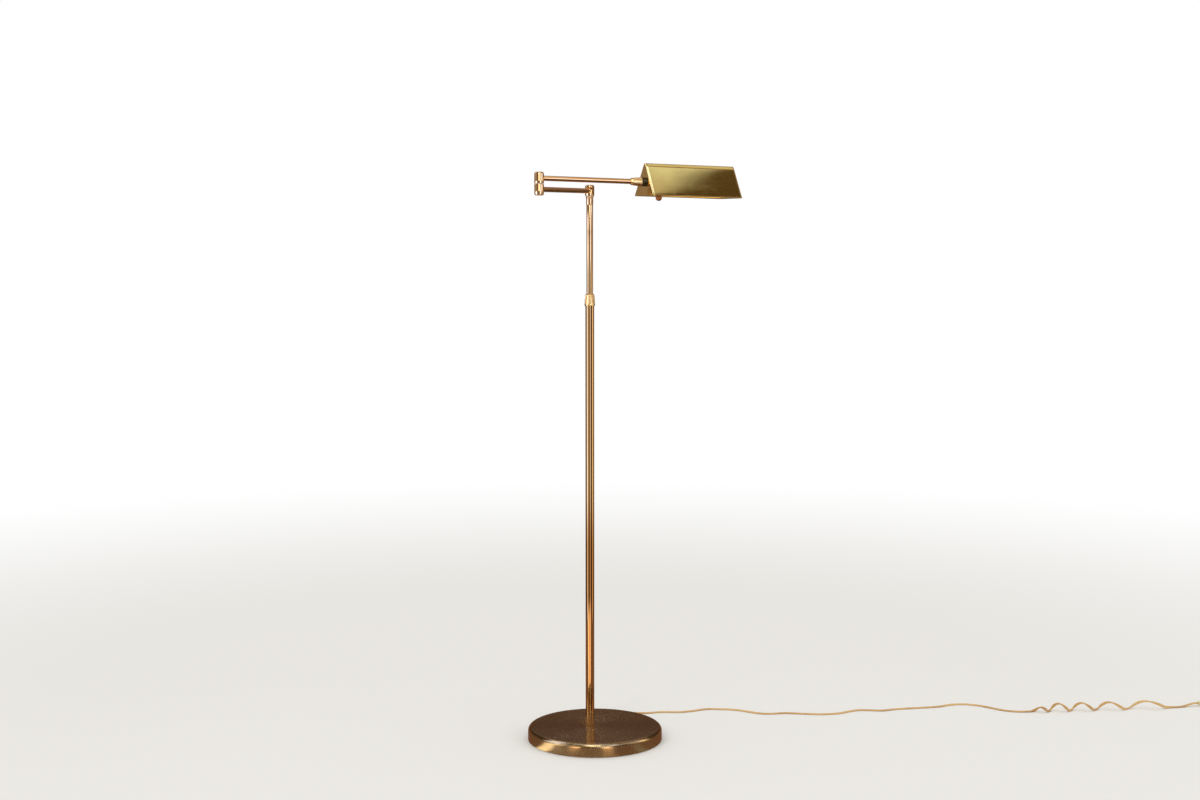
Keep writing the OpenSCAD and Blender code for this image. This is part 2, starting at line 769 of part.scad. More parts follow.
module plug_body() {
    wide = plug_w / 2 - 4;
    color("#d9cb9a") at_plug() {
        along_x() cylinder(r1 = neck_r - 1, r2 = neck_r, h = plug_neck, $fn = 32);
        hull() {
            for (x = [plug_neck + 3, plug_len - 4], y = [-wide, wide] * (x > plug_len / 2 ? 1 : 0.55))
                translate([x, y, 1 - plug_h / 2]) cylinder(r = 3.8, h = plug_h - 2, $fn = 32);
            for (x = [plug_neck + 3, plug_len - 4], y = [-wide, wide] * (x > plug_len / 2 ? 1 : 0.55))
                translate([x, y, -plug_h / 2]) cylinder(r = 2.8, h = plug_h, $fn = 32);
        }
    }
}

module plug_blades() {
    color("#c9a653") at_plug() for (side = [-1, 1]) difference() {
        translate([plug_len - 0.2, side * blade_pitch / 2 - blade[1] / 2, -blade[2] / 2]) cube(blade);
        translate([plug_len + 12.5, side * blade_pitch / 2 - blade[1], 0])
            rotate([-90, 0, 0]) cylinder(d = 3.2, h = 2 * blade[1]);
    }
}

base_cover();
base_weight();
base_pad();
base_nipple();
base_washer();
base_nut();
post_foot();
post_tube();
post_socket();
collet();
post_wire();
cord_sleeve();
cord();
plug_body();
plug_blades();
lock_collar();
mast_tube();
mast_guide();
mast_ferrule();
swivel_stem();
knuckle_washer();
knuckle_cap();
mast_wire();
knuckle_barrel();
lower_arm_tube();
elbow_lower_barrel();
elbow_stem();
elbow_bottom_cap();
elbow_top_cap();
elbow_washer();
lower_arm_wire();
elbow_upper_barrel();
upper_arm_tube();
arm_end_fitting();
upper_arm_wire();
shade_nut();
shade_shell();
shade_stem();
shade_washer();
shade_locknut();
socket_cap();
socket_shell();
socket_body();
socket_screw_shell();
socket_contact();
bulb_base();
bulb_glass();
switch_shaft();
switch_knob();
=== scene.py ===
# %% [markdown]
# # A brass bridge floor lamp
# A heavy round base, a post that telescopes, two arms that fold at a knuckle and an elbow, and a
# tent of folded brass over a tubular bulb. The engineering model gives every part its place and
# size. This script gives the lamp its finish, and remakes the parts whose charm is in details:
# the folded shade, the fluted fittings, the cord. It measures the frame, which is in metres, and
# writes outlines in millimetres.

# %% Load the frame
import json
from math import cos, hypot, pi, radians, sin, tau

import bmesh
import bpy
from mathutils import Matrix, Vector


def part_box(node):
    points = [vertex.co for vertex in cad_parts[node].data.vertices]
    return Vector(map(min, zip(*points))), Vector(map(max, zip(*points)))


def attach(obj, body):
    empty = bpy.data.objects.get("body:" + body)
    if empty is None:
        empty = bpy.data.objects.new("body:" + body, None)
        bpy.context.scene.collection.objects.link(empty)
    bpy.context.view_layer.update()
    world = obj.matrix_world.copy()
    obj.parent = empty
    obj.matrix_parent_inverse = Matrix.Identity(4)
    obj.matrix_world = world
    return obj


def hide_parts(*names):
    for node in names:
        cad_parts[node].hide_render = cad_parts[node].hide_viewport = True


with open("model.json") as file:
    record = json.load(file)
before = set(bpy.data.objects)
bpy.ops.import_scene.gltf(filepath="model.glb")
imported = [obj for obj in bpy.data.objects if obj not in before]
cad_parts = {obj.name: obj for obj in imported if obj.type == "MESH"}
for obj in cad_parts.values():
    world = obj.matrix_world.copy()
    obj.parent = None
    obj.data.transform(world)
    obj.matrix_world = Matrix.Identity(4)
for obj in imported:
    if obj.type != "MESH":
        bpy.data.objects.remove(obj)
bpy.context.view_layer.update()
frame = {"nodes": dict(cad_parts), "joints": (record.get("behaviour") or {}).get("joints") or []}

# %% [markdown]
# ## Where things are
# The joints already say where the axes run, so nothing is measured twice. A local frame for the
# arm and one for the shade let every profile below be written in millimetres along its own axis.

# %% Local frames
MM = 0.001
JOINTS = {joint["name"]: joint for joint in frame["joints"]}
UP = Vector((0, 0, 1))


def joint_point(name):
    return Vector(JOINTS[name]["pos_m"])


def axes(origin, x_axis, z_axis):
    """A matrix that lays local x and z along two axes at a point."""
    x_axis = x_axis.normalized()
    y_axis = z_axis.cross(x_axis).normalized()
    z_axis = x_axis.cross(y_axis)
    place = Matrix((x_axis, y_axis, z_axis)).transposed().to_4x4()
    place.translation = origin
    return place


def along_x(place, start):
    """A frame whose z runs along the given one's x, from a start in millimetres."""
    shift = Matrix.Translation(Vector((start * MM, 0, 0)))
    return place @ shift @ Matrix.Rotation(pi / 2, 4, "Y")


def upright(place, z):
    """A frame on the same axis, at a height in metres."""
    return Matrix.Translation(Vector((place.translation.x, place.translation.y, z)))


SHADE = axes(joint_point("shade_swivel"), Vector(JOINTS["shade_swivel"]["axis"]),
             Vector(JOINTS["switch_knob_turn"]["axis"]))
ELBOW = Matrix.Translation(joint_point("elbow_swivel"))
KNUCKLE = Matrix.Translation(joint_point("post_swivel"))
POST = upright(KNUCKLE, 0)
UPPER_ARM = axes(ELBOW.translation, SHADE.col[0].xyz, UP)
ARM_MM = (SHADE.translation - ELBOW.translation).length / MM
print(f"upper arm {ARM_MM:.0f} mm from the elbow to the shade")

# %% [markdown]
# ## Camera
# The photograph's focal length is 1800 pixels on a width of 1200, which is 54 mm on a 36 mm
# sensor. The floor's lines gave the horizon, and the base's outline gave the distance.

# %% Camera
PHOTO_WIDTH = 1200
FOCAL_PIXELS = 1800
SENSOR = 36.0
EYE = Vector((-0.3030, -3.3323, 0.970))
PITCH_DOWN = 5.52
TURN_RIGHT = 5.36

lens = bpy.data.cameras.new("camera")
lens.sensor_width = SENSOR
lens.lens = FOCAL_PIXELS / PHOTO_WIDTH * SENSOR
camera = bpy.data.objects.new("camera", lens)
camera.location = EYE
camera.rotation_euler = (radians(90 - PITCH_DOWN), 0, radians(-TURN_RIGHT))
bpy.context.scene.collection.objects.link(camera)
bpy.context.scene.camera = camera
bpy.context.scene.view_settings.view_transform = "Standard"
print(f"camera: {lens.lens:.0f} mm lens, {EYE.length:.2f} m away")

# %% [markdown]
# ## Making meshes
# Most of a lamp is turned on a lathe, so most pieces start as half an outline that is spun round
# an axis. Real turned edges are never sharp: a softened corner a few tenths of a millimetre wide
# is what catches the light, so `soften` rounds an outline before `lathe_mesh` spins it.

# %% Turned pieces
SMOOTH_ANGLE = radians(32)


def finish_mesh(name, verts, faces, place, body, replaces=(), smooth=SMOOTH_ANGLE):
    """An object from points in local millimetres, laid in the frame and riding on a body."""
    mesh = bpy.data.meshes.new(name)
    mesh.from_pydata([place @ (Vector(v) * MM) for v in verts], [], faces)
    shaper = bmesh.new()
    shaper.from_mesh(mesh)
    bmesh.ops.recalc_face_normals(shaper, faces=shaper.faces)
    shaper.to_mesh(mesh)
    shaper.free()
    mesh.shade_smooth()
    mesh.set_sharp_from_angle(angle=smooth)
    piece = bpy.data.objects.new(name, mesh)
    bpy.context.scene.collection.objects.link(piece)
    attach(piece, body)
    if replaces:
        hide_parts(*replaces)
    return piece


def soften(outline, radius, steps=4):
    """The closed outline with each corner off the axis rounded."""
    points = [Vector(p) for p in outline]
    rounded = []
    for i, corner in enumerate(points):
        before = points[i - 1] - corner
        after = points[(i + 1) % len(points)] - corner
        reach = min(radius, 0.45 * before.length, 0.45 * after.length)
        if corner.x < 1e-6 or reach < 1e-3:
            rounded.append(corner)
            continue
        start = corner + before.normalized() * reach
        end = corner + after.normalized() * reach
        for k in range(steps + 1):
            t = k / steps
            rounded.append(start * (1 - t) ** 2 + corner * 2 * t * (1 - t) + end * t ** 2)
    return rounded


def lathe_mesh(outline, steps, wave=None):
    """Points and faces of a closed (radius, height) outline spun round z.

    wave(angle, height, radius) gives how far the surface is cut in there."""
    rings = []
    verts = []
    for r, z in outline:
        if r < 1e-6:
            rings.append([len(verts)] * steps)
            verts.append((0, 0, z))
            continue
        rings.append(list(range(len(verts), len(verts) + steps)))
        for k in range(steps):
            angle = tau * k / steps
            cut = wave(angle, z, r) if wave else 0
            verts.append(((r - cut) * cos(angle), (r - cut) * sin(angle), z))
    faces = []
    for low, high in zip(rings, rings[1:] + rings[:1]):
        for k in range(steps):
            n = (k + 1) % steps
            corners = dict.fromkeys([low[k], low[n], high[n], high[k]])
            if len(corners) > 2:
                faces.append(list(corners))
    return verts, faces


def loft_faces(rings, count):
    """Faces of a skin over equal rings of points, closed by one face at each end."""
    last = (rings - 1) * count
    faces = [list(range(count)), list(range(last, last + count))[::-1]]
    for i in range(rings - 1):
        for k in range(count):
            a = i * count + k
            b = i * count + (k + 1) % count
            faces.append([a, b, b + count, a + count])
    return faces


def turned(name, outline, place, body, replaces=(), edge=0.8, steps=96):
    """A piece from the lathe, with its edges rounded by up to edge millimetres."""
    verts, faces = lathe_mesh(soften(outline, edge), steps)
    return finish_mesh(name, verts, faces, place, body, replaces)


print("lathe ready")

# %% [markdown]
# ## The cord's route
# A flat two-wire cord leaves the base's rear wall, drops to the floor and wanders to its plug.
# Near the plug it has kept the twist of its coil and stands off the floor in five loose turns.
# The free part is a list of given points. The turns come from a formula.

# %% Route
REAR = Vector((0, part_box("base_cover")[1].y / MM, 0))
CORD_W = 5.4
CORD_T = 2.7
LAY_Z = 1.4
FLOOR_GAP = 0.25
EXIT = Vector((0, 24, 8))
CORD_START = [
    EXIT, (0, 31, 8), (5, 44, 5.4), (15, 55, 2.8), (31, 61, LAY_Z),
    (50, 59, LAY_Z), (70, 51, LAY_Z), (92, 41, LAY_Z), (118, 37, LAY_Z), (150, 42, LAY_Z),
    (186, 38, LAY_Z), (213, 44, LAY_Z), (242, 55, LAY_Z), (270, 52, LAY_Z), (299, 44, LAY_Z),
    (324, 27, LAY_Z), (346, 12, LAY_Z), (370, 9, LAY_Z), (394, 11, LAY_Z), (420, 5, LAY_Z),
    (460, -4, LAY_Z), (498, -2, LAY_Z), (524, 11, LAY_Z), (546, 19, LAY_Z), (568, 16, LAY_Z),
    (592, 11, LAY_Z), (622, 19, LAY_Z), (665, 24, LAY_Z), (711, 29, LAY_Z), (740, 41, LAY_Z),
    (768, 43, LAY_Z), (795, 31, LAY_Z), (816, 10, LAY_Z), (836, -11, LAY_Z), (860, -22, LAY_Z)]
KINK_FROM = Vector((884, -24, LAY_Z))
KINK_TO = Vector((1188, -20, LAY_Z))
KINKS = 5
KINK_R = 7
KINK_STEPS = 70
KINK_OPEN = 0.6
PLUG_AT = Vector((1240, -10.4, 6.5))
PLUG_TURN = 4
CORD_END = [(1204, -17.6, 1.9), (1217, -14.4, 4), (1229, -11.4, 6), PLUG_AT]


def kink_point(share):
    """A loose corkscrew that comes down to the floor once a turn, and opens as it goes."""
    roll = tau * KINKS * share
    t = (1 + KINK_OPEN - ((1 + KINK_OPEN) ** 2 - 4 * KINK_OPEN * share) ** 0.5) / (2 * KINK_OPEN)
    ramp = min(1, 8 * min(t, 1 - t))
    swing = KINK_R * ramp * ramp * (3 - 2 * ramp)
    side = UP.cross(KINK_TO - KINK_FROM).normalized()
    rest = hypot(CORD_W / 2 * sin(roll), CORD_T / 2 * cos(roll)) - LAY_Z + FLOOR_GAP
    place = KINK_FROM.lerp(KINK_TO, t) + side * swing * sin(roll)
    return place + UP * max(swing * (1 - cos(roll)), rest), -roll


knots = [(Vector(p), 0.0) for p in CORD_START]
knots += [kink_point(i / KINK_STEPS) for i in range(KINK_STEPS + 1)]
knots += [(Vector(p), -tau * KINKS) for p in CORD_END]


def smooth_through(points, steps):
    """A curve through all the points, each with a value that is blended in the same way."""
    ends = [points[0]] + points + [points[-1]]
    curve = []
    for (a, _), (b, rb), (c, rc), (d, _) in zip(ends, ends[1:], ends[2:], ends[3:]):
        for k in range(steps):
            t = k / steps
            curve.append((((2 * b) + (c - a) * t + (2 * a - 5 * b + 4 * c - d) * t ** 2
                           + (3 * b - a - 3 * c + d) * t ** 3) / 2, rb + (rc - rb) * t))
    curve.append(points[-1])
    return curve


route = [(point + REAR, roll) for point, roll in smooth_through(knots, 3)]

# %% [markdown]
# ## The cord
# Two wires side by side in one soft jacket give a section like a figure eight. It is swept along
# the route and rolled with each kink, so the light runs along one lobe and then the other.

# %% Sweep the cord
LOBE = CORD_T / 2
VALLEY = 0.45
SECTION_STEPS = 24


def cord_section(k):
    """A point of the figure eight, on which the jacket dips between its two wires."""
    angle = tau * k / SECTION_STEPS
    across = CORD_W / 2 * cos(angle)
    past = max(0, abs(across) - LOBE)
    dip = VALLEY * (1 - min(1, abs(across) / LOBE)) ** 2
    height = (max(0, LOBE ** 2 - past ** 2) ** 0.5 - dip) * (1 if sin(angle) >= 0 else -1)
    return across, height


def swept(name, path, section, body, replaces=()):
    """A closed skin of a section that is carried along a path of (point, roll)."""
    verts = []
    for i, (point, roll) in enumerate(path):
        ahead = path[min(i + 1, len(path) - 1)][0] - path[max(i - 1, 0)][0]
        side = UP.cross(ahead).normalized()
        normal = ahead.cross(side).normalized()
        for x, z in section:
            verts.append(point + side * (x * cos(roll) - z * sin(roll))
                         + normal * (x * sin(roll) + z * cos(roll)))
    faces = loft_faces(len(path), len(section))
    return finish_mesh(name, verts, faces, Matrix(), body, replaces)


cord = swept("cord_jacket", route, [cord_section(k) for k in range(SECTION_STEPS)],
             "base", ["cord"])
print("cord skin:", len(cord.data.polygons), "faces")

# %% [markdown]
# ## The folded shade
# The shade is one brass sheet bent over two long folds and closed by a panel at each end. A real
# sheet is never a set of dead flat planes: its folds have a radius and its faces stand a little
# proud between them. So the shade is lofted from level rings instead of being cut from a block:
# from the ridge down the outside, round the hem and back up the inside.

# %% Shade rings
SHADE_L = 178
SHADE_HALF = 50.8
SHADE_H = 60
KNEE_HALF = 9.7
KNEE_Z = 54
RIDGE_HALF = 3.5
AXIS_UP = 25.5
SHEET = 0.9
FOLD = 3.4
CROWN = 0.35
LONG_CUTS = 20
SHORT_CUTS = 8
CORNER_CUTS = 6


def shade_ring(half, z, inset):
    """One closed level ring of the tent, with rounded corners."""
    corner = max(0.3, min(FOLD - inset, half - 0.2))
    ring = []
    long_side = [0, 0.004] + [i / LONG_CUTS for i in range(1, LONG_CUTS)] + [0.996, 1]
    short_side = [0, 0.05] + [i / SHORT_CUTS for i in range(1, SHORT_CUTS)] + [0.95, 1]
    low = inset + corner
    high = SHADE_L - inset - corner
    deep = half - corner
    bulge = CROWN * max(0, 1 - (2 * z / KNEE_Z - 1) ** 4) if z < KNEE_Z else 0
    for turn, sides in enumerate((long_side, short_side) * 2):
        for t in sides:
            swell = bulge * (1 - (2 * t - 1) ** 4)
            ring.append([(low + (high - low) * t, -half - swell),
                         (high + corner, -deep + 2 * deep * t),
                         (high + (low - high) * t, half + swell),
                         (low - corner, deep - 2 * deep * t)][turn])
        middle = [(high, -deep), (high, deep), (low, deep), (low, -deep)][turn]
        for k in range(1, CORNER_CUTS):
            angle = pi / 2 * (turn - 1 + k / CORNER_CUTS)
            ring.append((middle[0] + corner * cos(angle), middle[1] + corner * sin(angle)))
    return [(x, y, z - AXIS_UP) for x, y in ring]


print("shade ring:", len(shade_ring(SHADE_HALF, 0, 0)), "points")

# %% Loft the shade
KNEE_ROUND = 1.6
KNEE_STEPS = 6
STATION_GAP = 5


def side_stations(inset, bottom, top):
    """(half width, height, inset) up one side of the sheet, with its folds rounded."""
    slope = (SHADE_HALF - KNEE_HALF) / KNEE_Z
    facet = (KNEE_HALF - RIDGE_HALF) / (SHADE_H - KNEE_Z)
    along_side = inset * hypot(1, slope)
    along_facet = inset * hypot(1, facet)
    knee = KNEE_Z - (along_facet - along_side) / (facet - slope)
    knee_half = SHADE_HALF - slope * knee - along_side
    ridge_half = KNEE_HALF - facet * (top - KNEE_Z) - along_facet
    corners = [(0, bottom), (SHADE_HALF - slope * bottom - along_side, bottom),
               (knee_half, knee), (ridge_half, top), (0, top)]
    rounded = soften(corners, KNEE_ROUND, KNEE_STEPS)
    lowest = rounded.index(max(rounded, key=lambda p: p.x))
    stations = [(p.x, p.y) for p in rounded[lowest:] if p.x > 0.5]
    levels = []
    for (a, low), (b, high) in zip(stations, stations[1:]):
        cuts = max(1, round(hypot(b - a, high - low) / STATION_GAP))
        levels += [(a + (b - a) * k / cuts, low + (high - low) * k / cuts) for k in range(cuts)]
    levels.append(stations[-1])
    levels.append((0.6 * stations[-1][0], top))
    return [(half, z, inset) for half, z in levels]


HEM_H = 4
HEM_SLOPE = 0.76
HEM_DEPTH = 1.26
HEM = [(1.9, HEM_H), (2.0, HEM_H - 0.5), (2.0, 0.9), (1.75, 0.35), (1.3, 0.05), (0.7, 0.05),
       (0.25, 0.35)]
outside = side_stations(0, 0.9, SHADE_H)
inside = side_stations(SHEET, HEM_H + 1.2, SHADE_H - SHEET)
hem = [(SHADE_HALF - z * HEM_SLOPE - inset * HEM_DEPTH, z, inset) for inset, z in HEM]
stations = outside[::-1] + hem[::-1] + [(inside[0][0] - 0.02, HEM_H + 0.4, SHEET)] + inside
shade_rings = [shade_ring(half, z, inset) for half, z, inset in stations]
ring_points = len(shade_rings[0])
verts = [point for ring in shade_rings for point in ring]
faces = loft_faces(len(shade_rings), ring_points)
shade = finish_mesh("folded_shade", verts, faces, SHADE, "shade", ["shade_shell"])
print("shade:", len(shade.data.polygons), "faces")

# %% [markdown]
# ## Fluted fittings
# The collar that locks the post and the nut that holds the shade are gripped by hand, so both
# are fluted. A flute is the path of a round cutter: its depth at any point follows from how far
# that point lies from the cutter's middle. That is a formula, so the flutes need no boolean, and
# the lathe cuts them while it spins the outline.

# %% Flutes
FLUTE_EDGE = 0.35
FLUTE_EDGE_STEPS = 3
FLUTE_GAP = 0.9
POINTS_A_FLUTE = 14
FLUTE_SHARP = radians(50)


def divide(outline, longest):
    """The outline with its long stretches cut into shorter ones."""
    cut = []
    for i, a in enumerate(outline):
        b = outline[(i + 1) % len(outline)]
        steps = max(1, round((b - a).length / longest))
        cut += [a + (b - a) * k / steps for k in range(steps)]
    return cut


def flutes(count, cutter_r, centre_r, lean, start, bore_r):
    """How deep a round cutter has cut at an angle and height, count times round."""
    def cut(angle, z, r):
        if r < bore_r or z < start:
            return 0
        across = (angle * count / tau + 0.5) % 1 - 0.5
        sideways = tau / count * across * r
        before = max(0, start + cutter_r - z)
        reach = cutter_r ** 2 - sideways ** 2 - before ** 2
        return max(0, reach ** 0.5 - (centre_r + lean * (z - start) - r)) if reach > 0 else 0
    return cut


def fluted(name, outline, place, node, count, **cutter):
    """A fluted piece in the place of a node that is a body of its own."""
    shape = divide(soften(outline, FLUTE_EDGE, FLUTE_EDGE_STEPS), FLUTE_GAP)
    verts, faces = lathe_mesh(shape, count * POINTS_A_FLUTE, flutes(count, **cutter))
    return finish_mesh(name, verts, faces, place, node, [node], FLUTE_SHARP)


collar_place = upright(POST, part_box("lock_collar")[0].z)
collar_outline = [(8.6, 0), (9.6, 0), (10.2, 1), (8.95, 21), (8.35, 22), (6.95, 23), (6.65, 23),
                  (6.65, 19), (7.3, 14.2), (8.05, 14), (8.05, 4.4), (8.6, 4.3)]
collar = fluted("fluted_collar", collar_outline, collar_place, "lock_collar", 16,
                cutter_r=1.25, centre_r=10.9, lean=-0.068, start=2.2, bore_r=8.2)

NUT_START = 177.2
nut_outline = [(5.1, 0), (5.8, 0), (6.9, 3), (8.5, 20.2), (7.8, 21.2), (6.1, 21.2), (6.1, 4.6),
               (5.1, 4.5)]
nut = fluted("fluted_nut", nut_outline, along_x(UPPER_ARM, NUT_START), "shade_nut", 14,
             cutter_r=1.1, centre_r=7.55, lean=0.0875, start=2.5, bore_r=6.3)
print("collar:", len(collar.data.polygons), "faces, nut:", len(nut.data.polygons), "faces")

# %% [markdown]
# ## Barrels, caps and the ferrule
# The knuckle and the elbow are three short turned barrels. The two of the elbow are stacked on
# one stem with a thin washer between them, which reads as a dark line. Each has rounded rims and
# each stack ends in a low domed cap.

# %% Turned joints
BARREL_R = 8.75
BARREL_H = 19.4
STEM_R = 4.8
CAP_R = 7.7
barrel_outline = [(STEM_R, -BARREL_H / 2), (BARREL_R, -BARREL_H / 2), (BARREL_R, BARREL_H / 2),
                  (STEM_R, BARREL_H / 2)]
cap_outline = [(0, 0), (CAP_R, 0), (CAP_R, 0.75), (CAP_R - 1.3, 1.45), (0, 1.6)]
turned_joints = {}
for name, place, body in (("knuckle_barrel", KNUCKLE, "lower_arm"),
                          ("elbow_lower_barrel", ELBOW, "lower_arm"),
                          ("elbow_upper_barrel", ELBOW, "upper_arm")):
    low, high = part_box(name)
    seat = upright(place, (low.z + high.z) / 2)
    barrel = turned(name + "_turned", barrel_outline, seat, body, [name], edge=0.8, steps=128)
    turned_joints[name] = barrel

for name, place, body, over in (("knuckle_cap", KNUCKLE, "mast", 1),
                                ("elbow_top_cap", ELBOW, "lower_arm", 1),
                                ("elbow_bottom_cap", ELBOW, "lower_arm", -1)):
    low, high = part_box(name)
    seat = upright(place, low.z if over > 0 else high.z)
    if over < 0:
        seat = seat @ Matrix.Rotation(pi, 4, "X")
    cap = turned(name + "_turned", cap_outline, seat, body, [name], edge=0.7)
    turned_joints[name] = cap

FERRULE_TOP = 16
ferrule_outline = [(4.75, -14), (5.4, -14), (5.4, 0), (6.45, 0), (6.75, 0.6), (6.75, 12.8),
                   (6.95, 13.4), (7.45, 14.2), (7.5, 15.9), (7.3, FERRULE_TOP),
                   (4.75, FERRULE_TOP)]
ferrule_place = upright(KNUCKLE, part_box("mast_ferrule")[1].z - FERRULE_TOP * MM)
ferrule = turned("ferrule_turned", ferrule_outline, ferrule_place, "mast", ["mast_ferrule"],
                 edge=0.3)
print("barrels, caps and ferrule turned")

# %% [markdown]
# ## The switch knob
# A small ball on a thin shaft hangs under the shade. Turned balls are left on a short neck with
# a bead, because that is where the lathe holds them.

# %% Knob
KNOB_R = 6
KNOB_NECK = 2.5
BALL_STEPS = 28
NECK_STEPS = 3
NECK_LONG = 1
knob_axis = Vector(JOINTS["switch_knob_turn"]["axis"])
knob_low, knob_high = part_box("switch_knob")
knob_place = axes(joint_point("switch_knob_turn"), SHADE.col[0].xyz, knob_axis)
knob_middle = ((knob_low + knob_high) / 2 - knob_place.translation).dot(knob_axis) / MM
ball_middle = knob_middle - NECK_LONG / 2
ball = [(KNOB_R * sin(pi * k / BALL_STEPS), ball_middle - KNOB_R * cos(pi * k / BALL_STEPS))
        for k in range(BALL_STEPS - NECK_STEPS)]
neck_top = ball_middle + KNOB_R + NECK_LONG
neck = [(KNOB_NECK, ball_middle + 5.75), (KNOB_NECK + 0.5, ball_middle + 6.1),
        (KNOB_NECK + 0.5, ball_middle + 6.7), (KNOB_NECK, neck_top), (0, neck_top)]
knob = turned("ball_knob", ball + neck, knob_place, "switch_knob", ["switch_knob"], edge=0.2,
              steps=72)
print(f"knob: ball {ball_middle:.1f} mm from its joint's point")

# %% [markdown]
# ## Strain relief and plug
# The cord leaves the base through a tapered sleeve whose rings let it bend in an even curve. At
# the far end is a flat moulded plug with finger ridges. Its outline grows from a round neck to a
# rounded box, so each ring is a superellipse whose power rises along the plug.

# %% Sleeve
SLEEVE_LEN = 24
SLEEVE_R = 5.2
SLEEVE_RINGS = 7
RING_PITCH = 2.8
RING_DEPTH = 0.75
rear = Matrix.Translation(Vector((0, REAR.y * MM, EXIT.z * MM)))
sleeve_place = rear @ Matrix.Rotation(-pi / 2, 4, "X")
sleeve = [(0, -9), (4.4, -9), (4.4, 0), (SLEEVE_R, 0.05), (SLEEVE_R, 2.2)]
for k in range(SLEEVE_RINGS):
    z = 3.2 + k * RING_PITCH
    r = SLEEVE_R - 1.5 * z / SLEEVE_LEN
    sleeve += [(r - RING_DEPTH, z), (r - RING_DEPTH, z + 0.8), (r, z + 1.1), (r, z + 2.2)]
sleeve += [(3.55, SLEEVE_LEN), (0, SLEEVE_LEN)]
relief = turned("ribbed_sleeve", sleeve, sleeve_place, "base", ["cord_sleeve"], edge=0.3, steps=48)

# %% Plug
PLUG_LEN = 30
PLUG_STEPS = 64
PLUG_RINGS = [(0, 3.6, 3.6, 2.0), (6, 4.2, 4.2, 2.0), (9, 4.6, 4.5, 2.1), (10.5, 5.6, 4.9, 2.3),
              (12.5, 8.0, 5.7, 2.8), (15, 10.4, 6.3, 3.2), (17.5, 11.5, 6.5, 3.6),
              (25, 12.0, 6.5, 4.0), (28.6, 12.0, 6.5, 4.0), (29.5, 11.8, 6.2, 4.0),
              (PLUG_LEN, 11.2, 5.6, 4.0)]
GRIP_FROM = 16.5
GRIP_TO = 27.5
GRIP_PITCH = 2.2
GRIP_DEPTH = 0.45
GRIP_REACH = 0.6
SLICE = 0.45


def plug_size(x):
    """Half width, half thickness and roundness of the plug at x."""
    for (a, *low), (b, *high) in zip(PLUG_RINGS, PLUG_RINGS[1:]):
        if x <= b:
            t = (x - a) / (b - a)
            return [p + (q - p) * t for p, q in zip(low, high)]
    return high


plug_place = (Matrix.Translation((PLUG_AT + REAR) * MM)
              @ Matrix.Rotation(radians(PLUG_TURN), 4, "Z"))
plug_xs = [0, 0.4] + [1 + k * SLICE for k in range(63)] + [29.5, 29.8, PLUG_LEN]
verts = []
for x in plug_xs:
    wide, tall, power = plug_size(x)
    groove = 0
    if GRIP_FROM < x < GRIP_TO:
        groove = GRIP_DEPTH * max(0, sin(tau * (x - GRIP_FROM) / GRIP_PITCH))
    for k in range(PLUG_STEPS):
        angle = tau * k / PLUG_STEPS
        c = cos(angle)
        s = sin(angle)
        reach = (abs(c) ** power + abs(s) ** power) ** (-1 / power)
        side_cut = groove * max(0, abs(c) - GRIP_REACH) / 0.4
        verts.append((x, (wide - side_cut) * reach * c, tall * reach * s))
faces = loft_faces(len(plug_xs), PLUG_STEPS)
plug = finish_mesh("moulded_plug", verts, faces, plug_place, "base", ["plug_body"], radians(40))
print("plug:", len(plug.data.polygons), "faces")

# %% [markdown]
# ## Socket and bulb
# Looking up under the shade one sees a brass socket shell with a rolled bead, and a clear tubular
# bulb. The filament hangs in a zigzag between thin supports on a glass stem.

# %% Socket shell
CAP_X = 4.4
SHELL_X = 19
shell_outline = [(15.9, 0), (16.45, 0), (16.45, 9), (16.5, 37.4), (17.1, 38.2), (17.3, 39.4),
                 (17.1, 40.6), (16.5, 41), (15.9, 41)]
shell = turned("socket_shell_turned", shell_outline, along_x(SHADE, SHELL_X), "shade",
               ["socket_shell"], edge=0.4)
neck_outline = [(4.8, 0), (6.5, 0), (6.5, 5.6), (7.4, 6.6), (11.5, 9.2), (14.9, 11.2),
                (16.6, 13.4), (17.1, 14.8), (17.1, 22.6), (16.55, 22.6), (16.55, 14.6),
                (14.2, 12.6), (10.5, 10.4), (5, 7.4)]
neck_cap = turned("socket_cap_turned", neck_outline, along_x(SHADE, CAP_X), "shade",
                  ["socket_cap"], edge=0.8)
print("socket:", len(shell.data.polygons) + len(neck_cap.data.polygons), "faces")

# %% Filament
BULB_X = 64
bulb_place = along_x(SHADE, BULB_X)
stem_outline = [(0, 0), (9, 0), (7, 3), (3.2, 10), (2.6, 26), (1.8, 30), (0, 31)]
glass_stem = turned("bulb_stem", stem_outline, bulb_place, "shade", edge=0.8, steps=48)


def round_wire(name, points, radius, sides):
    """A closed round wire through points in local millimetres."""
    places = [Vector(p) for p in points]
    verts = []
    for i, point in enumerate(places):
        ahead = places[min(i + 1, len(places) - 1)] - places[max(i - 1, 0)]
        side = ahead.orthogonal().normalized()
        lift = ahead.cross(side).normalized()
        for k in range(sides):
            angle = tau * k / sides
            verts.append(point + side * radius * cos(angle) + lift * radius * sin(angle))
    wire = finish_mesh(name, verts, loft_faces(len(places), sides), bulb_place, "shade")
    return wire


